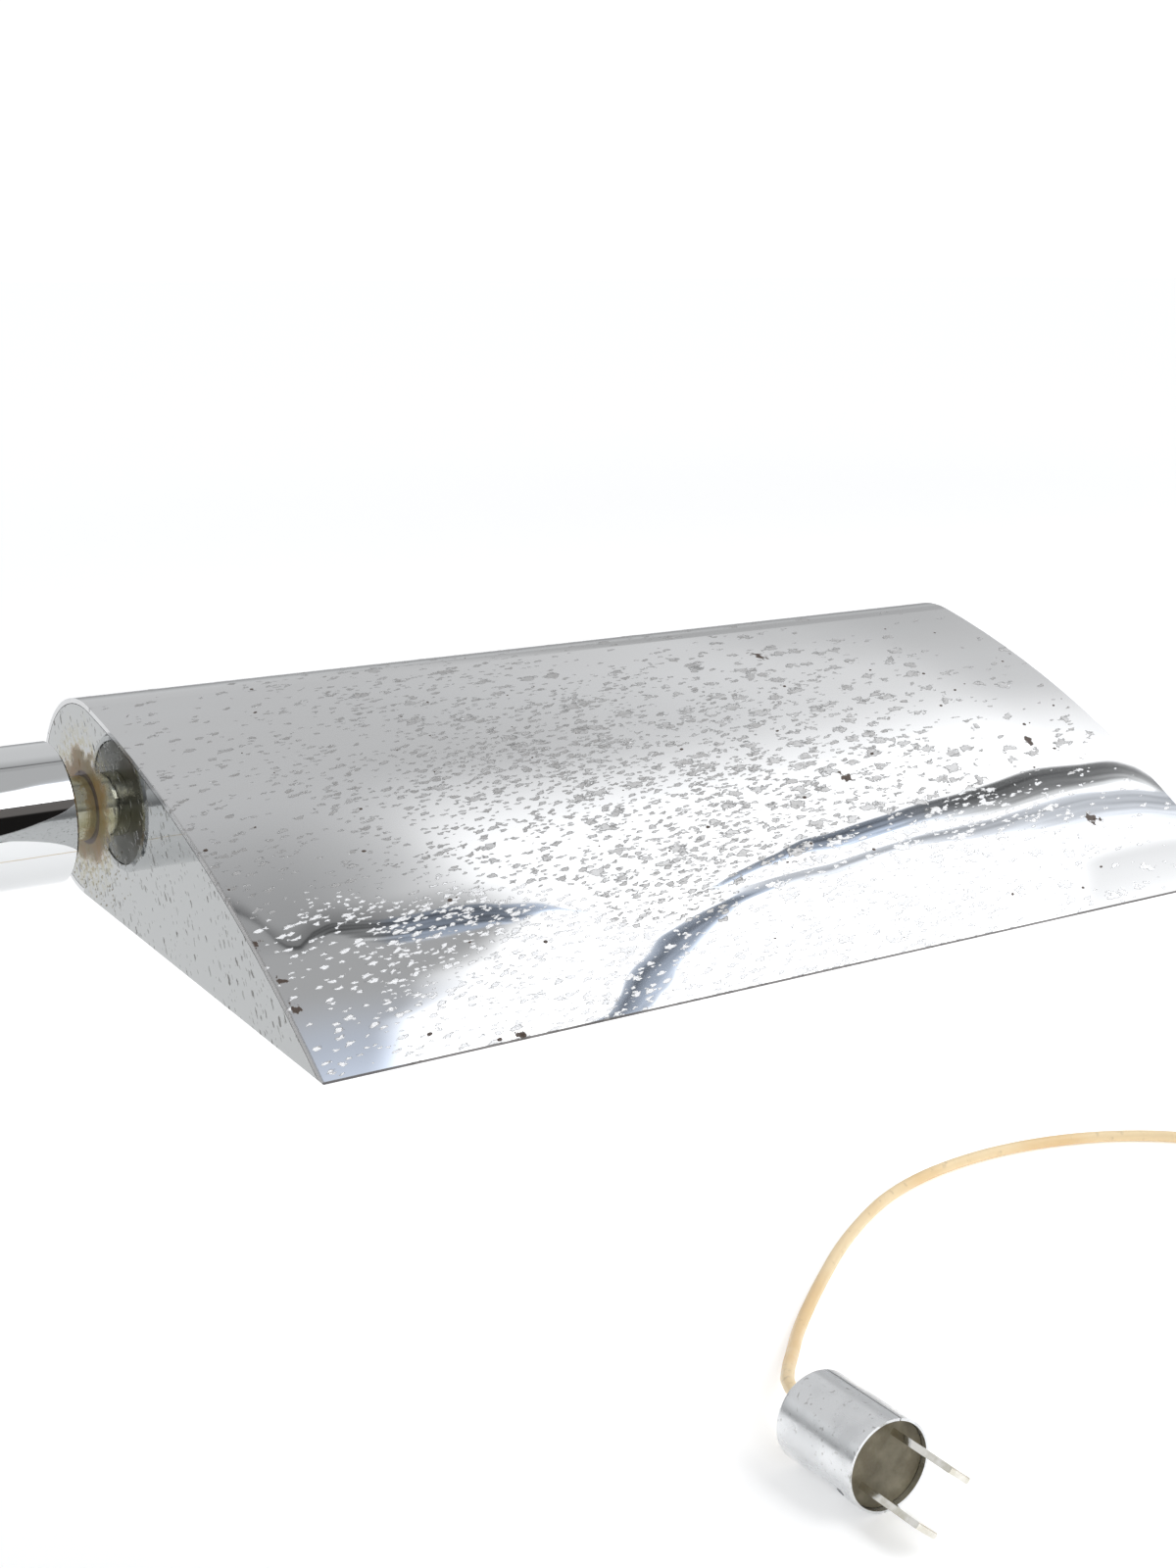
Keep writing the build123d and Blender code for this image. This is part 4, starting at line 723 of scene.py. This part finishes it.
waves = place_group(tree, buffing, {"Vector": place, "Scale": 40.0})["Height"]
height = summed(tree, waves, times(tree, flecks, -0.2))
wire_shader(cap_chrome, Base_Color=metal, Metallic=plated, Roughness=rough,
            Normal=raised(tree, height, 0.30, 0.0004))
dress(cap_chrome, "shade_cap_near", "shade_cap_far")


# ---------------------------------------------------------------- turned and stamped metal

# The neck, bushes and small hardware are turned, nickel plated and dulled, or plain brass and
# zinc plate straight from the machine, with fine tool marks round them.
def turned_finish(name, colour, tarnish, roughness):
    """Turned metal with fine marks and blotches of tarnish."""
    finish = new_finish(name, colour, roughness, 1.0)
    tree = finish.node_tree
    place = shader_node(tree, "TexCoord").outputs["Object"]
    blotch = stepped(tree, cloud(tree, place, 240), 0.35, 0.70)
    round_axis = shader_node(tree, "Mapping", {"Vector": place, "Scale": (1, 0.05, 0.05)}).outputs[0]
    marks = cloud(tree, round_axis, 5000, 1)
    tone = blended(tree, blotch, (*colour, 1), (*tarnish, 1))
    rough = stepped(tree, summed(tree, times(tree, blotch, 0.5), times(tree, marks, 0.5)), 0.1, 0.8,
                    roughness - 0.08, roughness + 0.10)
    wire_shader(finish, Base_Color=tone, Roughness=rough, Normal=raised(tree, marks, 0.15, 0.00005))
    return finish


nickel = turned_finish("dull_nickel", (0.74, 0.72, 0.60), (0.52, 0.50, 0.34), 0.08)
steel = turned_finish("dull_steel", (0.34, 0.34, 0.325), (0.29, 0.29, 0.275), 0.30)
brass = turned_finish("turned_brass", (0.72, 0.54, 0.25), (0.48, 0.33, 0.15), 0.28)
zinc = turned_finish("zinc_plate", (0.60, 0.61, 0.62), (0.45, 0.46, 0.47), 0.32)
dress(nickel, "shade_spindle", "switch_ring_nut", "switch_shaft", "bulb_mount")
dress(steel, "arm_end_bush")
dress(brass, "base_nipple", "stem_bushes", "swivel_pin", "arm_nipple", "arm_rear_bush", "switch_nipple",
      "switch_bushing", "spindle_nut", "socket_cup", "socket_shell", "socket_contact", "bulb_base")
dress(zinc, "base_plate", "plate_screws", "base_washer", "stem_nuts", "swivel_spring", "switch_mount",
      "switch_nut", "knob_grub_screw", "spindle_spring", "shade_washer", "shade_nut", "plug_screw")


# ---------------------------------------------------------------- plug

# The plug is a rolled steel shell with satin plating, closed up round a moulded core. Its two flat
# blades are nickel plated, and a small screw low in the side holds shell and core together.
plug_satin = new_finish("plug_satin", (0.66, 0.675, 0.69), 0.25, 1.0)
tree = plug_satin.node_tree
place = shader_node(tree, "TexCoord").outputs["Object"]
lengthwise = shader_node(tree, "Mapping", {"Vector": place, "Scale": (1.0, 0.05, 1.0)}).outputs[0]
rolled = cloud(tree, lengthwise, 330, 2.0)
mottle = stepped(tree, cloud(tree, place, 140, 2.0), 0.35, 0.70)
dull_spots = times(tree, stepped(tree, cloud(tree, place, 900, 2.0), 0.62, 0.72), 0.5)
tone = blended(tree, mottle, (0.80, 0.81, 0.82, 1), (0.71, 0.72, 0.73, 1))
tone = blended(tree, dull_spots, tone, (0.35, 0.34, 0.32, 1))
rough = stepped(tree, summed(tree, times(tree, rolled, 0.7), times(tree, mottle, 0.3)), 0.25, 0.75, 0.17,
                0.32)
wire_shader(plug_satin, Base_Color=tone, Roughness=rough, Normal=raised(tree, rolled, 0.12, 0.0002))
dress(plug_satin, "plug_shell")
bright_nickel = turned_finish("bright_nickel", (0.86, 0.84, 0.79), (0.70, 0.67, 0.58), 0.14)
dress(bright_nickel, "plug_blades")


def moulded_finish(name, colour, worn, roughness):
    """Moulded insulator with a fine grain and paler worn patches."""
    finish = new_finish(name, colour, roughness)
    tree = finish.node_tree
    place = shader_node(tree, "TexCoord").outputs["Object"]
    grain = cloud(tree, place, 1800, 4.0)
    wear = stepped(tree, cloud(tree, place, 180), 0.38, 0.68)
    wire_shader(finish, Base_Color=blended(tree, wear, (*colour, 1), (*worn, 1)),
                Roughness=stepped(tree, grain, 0.3, 0.7, roughness - 0.1, roughness + 0.15),
                Normal=raised(tree, grain, 0.3, 0.0001))
    return finish


tan_moulding = moulded_finish("tan_moulding", (0.13, 0.11, 0.065), (0.22, 0.195, 0.13), 0.5)
black_moulding = moulded_finish("black_moulding", (0.022, 0.022, 0.022), (0.05, 0.05, 0.048), 0.4)
cream_rubber = moulded_finish("cream_rubber", (0.72, 0.55, 0.36), (0.60, 0.44, 0.27), 0.55)
pale_fibre = moulded_finish("pale_fibre", (0.70, 0.62, 0.48), (0.58, 0.50, 0.37), 0.6)
dress(tan_moulding, "plug_core")
dress(black_moulding, "switch_body")
dress(cream_rubber, "cord_relief")
dress(pale_fibre, "cord_grip", "swivel_washer")


# ---------------------------------------------------------------- coil tie

# The spare cord is held by a flat black twist tie: one strip round the turns, its ends twisted
# together on top and laid flat.
tie_at = coil_centre + Vector((0, (coil_outer + coil_inner) / 2, CORD_RADIUS * 2 * coil_layers / 2))
tie_width, tie_wall, tie_corner = 0.0034, 0.0004, 0.0022
tie_deep = (coil_outer - coil_inner) / 2 + CORD_RADIUS + tie_wall
tie_high = CORD_RADIUS * coil_layers - 0.0001
bpy.ops.object.select_all(action="DESELECT")
bpy.ops.mesh.primitive_cylinder_add(vertices=4, radius=math.sqrt(2), depth=tie_width,
                                    end_fill_type="NOTHING",
                                    rotation=(0, math.radians(90), 0))
tie_strip = bpy.context.object
tie_strip.name = "coil_tie_strip"
bpy.ops.object.transform_apply()
bpy.ops.object.mode_set(mode="EDIT")
bpy.ops.mesh.select_all(action="SELECT")
bpy.ops.transform.rotate(value=math.radians(45), orient_axis="X", center_override=(0, 0, 0))
bpy.ops.transform.resize(value=(1, tie_deep, tie_high), center_override=(0, 0, 0))
bpy.ops.transform.translate(value=tie_at)
bpy.ops.mesh.select_mode(type="EDGE")
bpy.ops.mesh.select_all(action="DESELECT")
bpy.ops.object.mode_set(mode="OBJECT")
for edge in tie_strip.data.edges:
    first, second = (tie_strip.data.vertices[index].co for index in edge.vertices)
    edge.select = abs(first.x - second.x) > 0.9 * tie_width
bpy.ops.object.mode_set(mode="EDIT")
bpy.ops.mesh.bevel(offset=tie_corner, segments=5, affect="EDGES")
bpy.ops.object.mode_set(mode="OBJECT")
wall = tie_strip.modifiers.new("wall", "SOLIDIFY")
wall.thickness = tie_wall
wall.offset = 0
bpy.ops.object.modifier_apply(modifier="wall")

twist_length, twist_turns = 0.016, 1.5
bpy.ops.mesh.primitive_cube_add(size=1)
tie_twist = bpy.context.object
tie_twist.name = "coil_tie_twist"
tie_twist.scale = (tie_width * 0.8, tie_wall * 2, twist_length)
bpy.ops.object.transform_apply()
bpy.ops.object.mode_set(mode="EDIT")
bpy.ops.mesh.select_mode(type="EDGE")
bpy.ops.mesh.select_all(action="DESELECT")
bpy.ops.object.mode_set(mode="OBJECT")
for edge in tie_twist.data.edges:
    first, second = (tie_twist.data.vertices[index].co for index in edge.vertices)
    edge.select = abs(first.z - second.z) > 0.9 * twist_length
bpy.ops.object.mode_set(mode="EDIT")
bpy.ops.mesh.subdivide(number_cuts=30)
bpy.ops.object.mode_set(mode="OBJECT")
twist = tie_twist.modifiers.new("twist", "SIMPLE_DEFORM")
twist.deform_method = "TWIST"
twist.deform_axis = "Z"
twist.angle = math.radians(360 * twist_turns)
bpy.ops.object.modifier_apply(modifier="twist")
tie_twist.rotation_euler = (math.radians(90), 0, math.radians(-62))
tie_twist.location = tie_at + Vector((0.0062, 0.0020, tie_high + tie_width * 0.42))
bpy.ops.object.transform_apply()
bpy.ops.object.select_all(action="DESELECT")
tie_strip.select_set(True)
tie_twist.select_set(True)
bpy.context.view_layer.objects.active = tie_strip
bpy.ops.object.join()
coil_tie = bpy.context.object
coil_tie.name = "coil_tie"
bpy.ops.object.mode_set(mode="EDIT")
bpy.ops.mesh.select_all(action="SELECT")
bpy.ops.mesh.normals_make_consistent(inside=False)
bpy.ops.object.mode_set(mode="OBJECT")
bpy.ops.object.shade_smooth_by_angle(angle=math.radians(35))
coil_tie.data.materials.append(black_moulding)
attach(coil_tie, "base")


# ---------------------------------------------------------------- wires, weight and felt

# Inside run two thin insulated wires. The base is a rough cast weight on a steel plate, with a
# dark felt pad glued under it.
wire_vinyl = vinyl_finish("wire_vinyl", (0.80, 0.77, 0.70), (0.72, 0.66, 0.55), 0.4)
dress(cord_vinyl, "cord_inside")
dress(wire_vinyl, "stem_wires", "arm_wires", "socket_wires")

cast_iron = new_finish("cast_iron", (0.10, 0.10, 0.105), 0.7, 0.6)
tree = cast_iron.node_tree
place = shader_node(tree, "TexCoord").outputs["Object"]
sand = cloud(tree, place, 900, 5.0)
rusting = stepped(tree, cloud(tree, place, 70), 0.5, 0.72, 0.0, 0.6)
wire_shader(cast_iron, Base_Color=blended(tree, rusting, (0.10, 0.10, 0.105, 1), (0.16, 0.085, 0.05, 1)),
            Roughness=stepped(tree, sand, 0.3, 0.7, 0.55, 0.85), Normal=raised(tree, sand, 0.6, 0.0005))
dress(cast_iron, "base_weight")

felt = new_finish("felt", (0.035, 0.05, 0.038), 0.95)
felt.node_tree.nodes["Principled BSDF"].inputs["Sheen Weight"].default_value = 0.6
tree = felt.node_tree
place = shader_node(tree, "TexCoord").outputs["Object"]
fluff = cloud(tree, place, 1500, 4.0)
wire_shader(felt, Base_Color=blended(tree, stepped(tree, fluff, 0.35, 0.65), (0.028, 0.042, 0.03, 1),
                                     (0.06, 0.08, 0.06, 1)), Normal=raised(tree, fluff, 0.8, 0.0004))
dress(felt, "felt_pad")


# ---------------------------------------------------------------- liner, lampholder and bulb

# Under the shade a thin satin liner throws the light down. The lampholder is porcelain in a brass
# cup, and the bulb is a frosted tube.
liner_satin = new_finish("liner_satin", (0.82, 0.82, 0.82), 0.3, 1.0)
tree = liner_satin.node_tree
place = shader_node(tree, "TexCoord").outputs["Object"]
drawn_lines = cloud(tree, shader_node(tree, "Mapping",
                                      {"Vector": place, "Scale": (0.04, 1, 1)}).outputs[0], 900)
dusty = stepped(tree, cloud(tree, place, 60), 0.35, 0.7)
wire_shader(liner_satin, Base_Color=blended(tree, dusty, (0.84, 0.84, 0.84, 1), (0.72, 0.71, 0.69, 1)),
            Roughness=stepped(tree, drawn_lines, 0.3, 0.7, 0.22, 0.42),
            Normal=raised(tree, drawn_lines, 0.15, 0.0001))
dress(liner_satin, "shade_liner")

porcelain = moulded_finish("porcelain", (0.82, 0.80, 0.76), (0.72, 0.68, 0.60), 0.35)
dress(porcelain, "socket_body")

frosted = new_finish("frosted_glass", (0.94, 0.94, 0.93), 0.45)
shader = frosted.node_tree.nodes["Principled BSDF"]
shader.inputs["Transmission Weight"].default_value = 0.7
shader.inputs["IOR"].default_value = 1.48
tree = frosted.node_tree
place = shader_node(tree, "TexCoord").outputs["Object"]
etch = cloud(tree, place, 2200, 3.0)
wire_shader(frosted, Roughness=stepped(tree, etch, 0.3, 0.7, 0.38, 0.52),
            Normal=raised(tree, etch, 0.15, 0.00005))
dress(frosted, "bulb_glass")
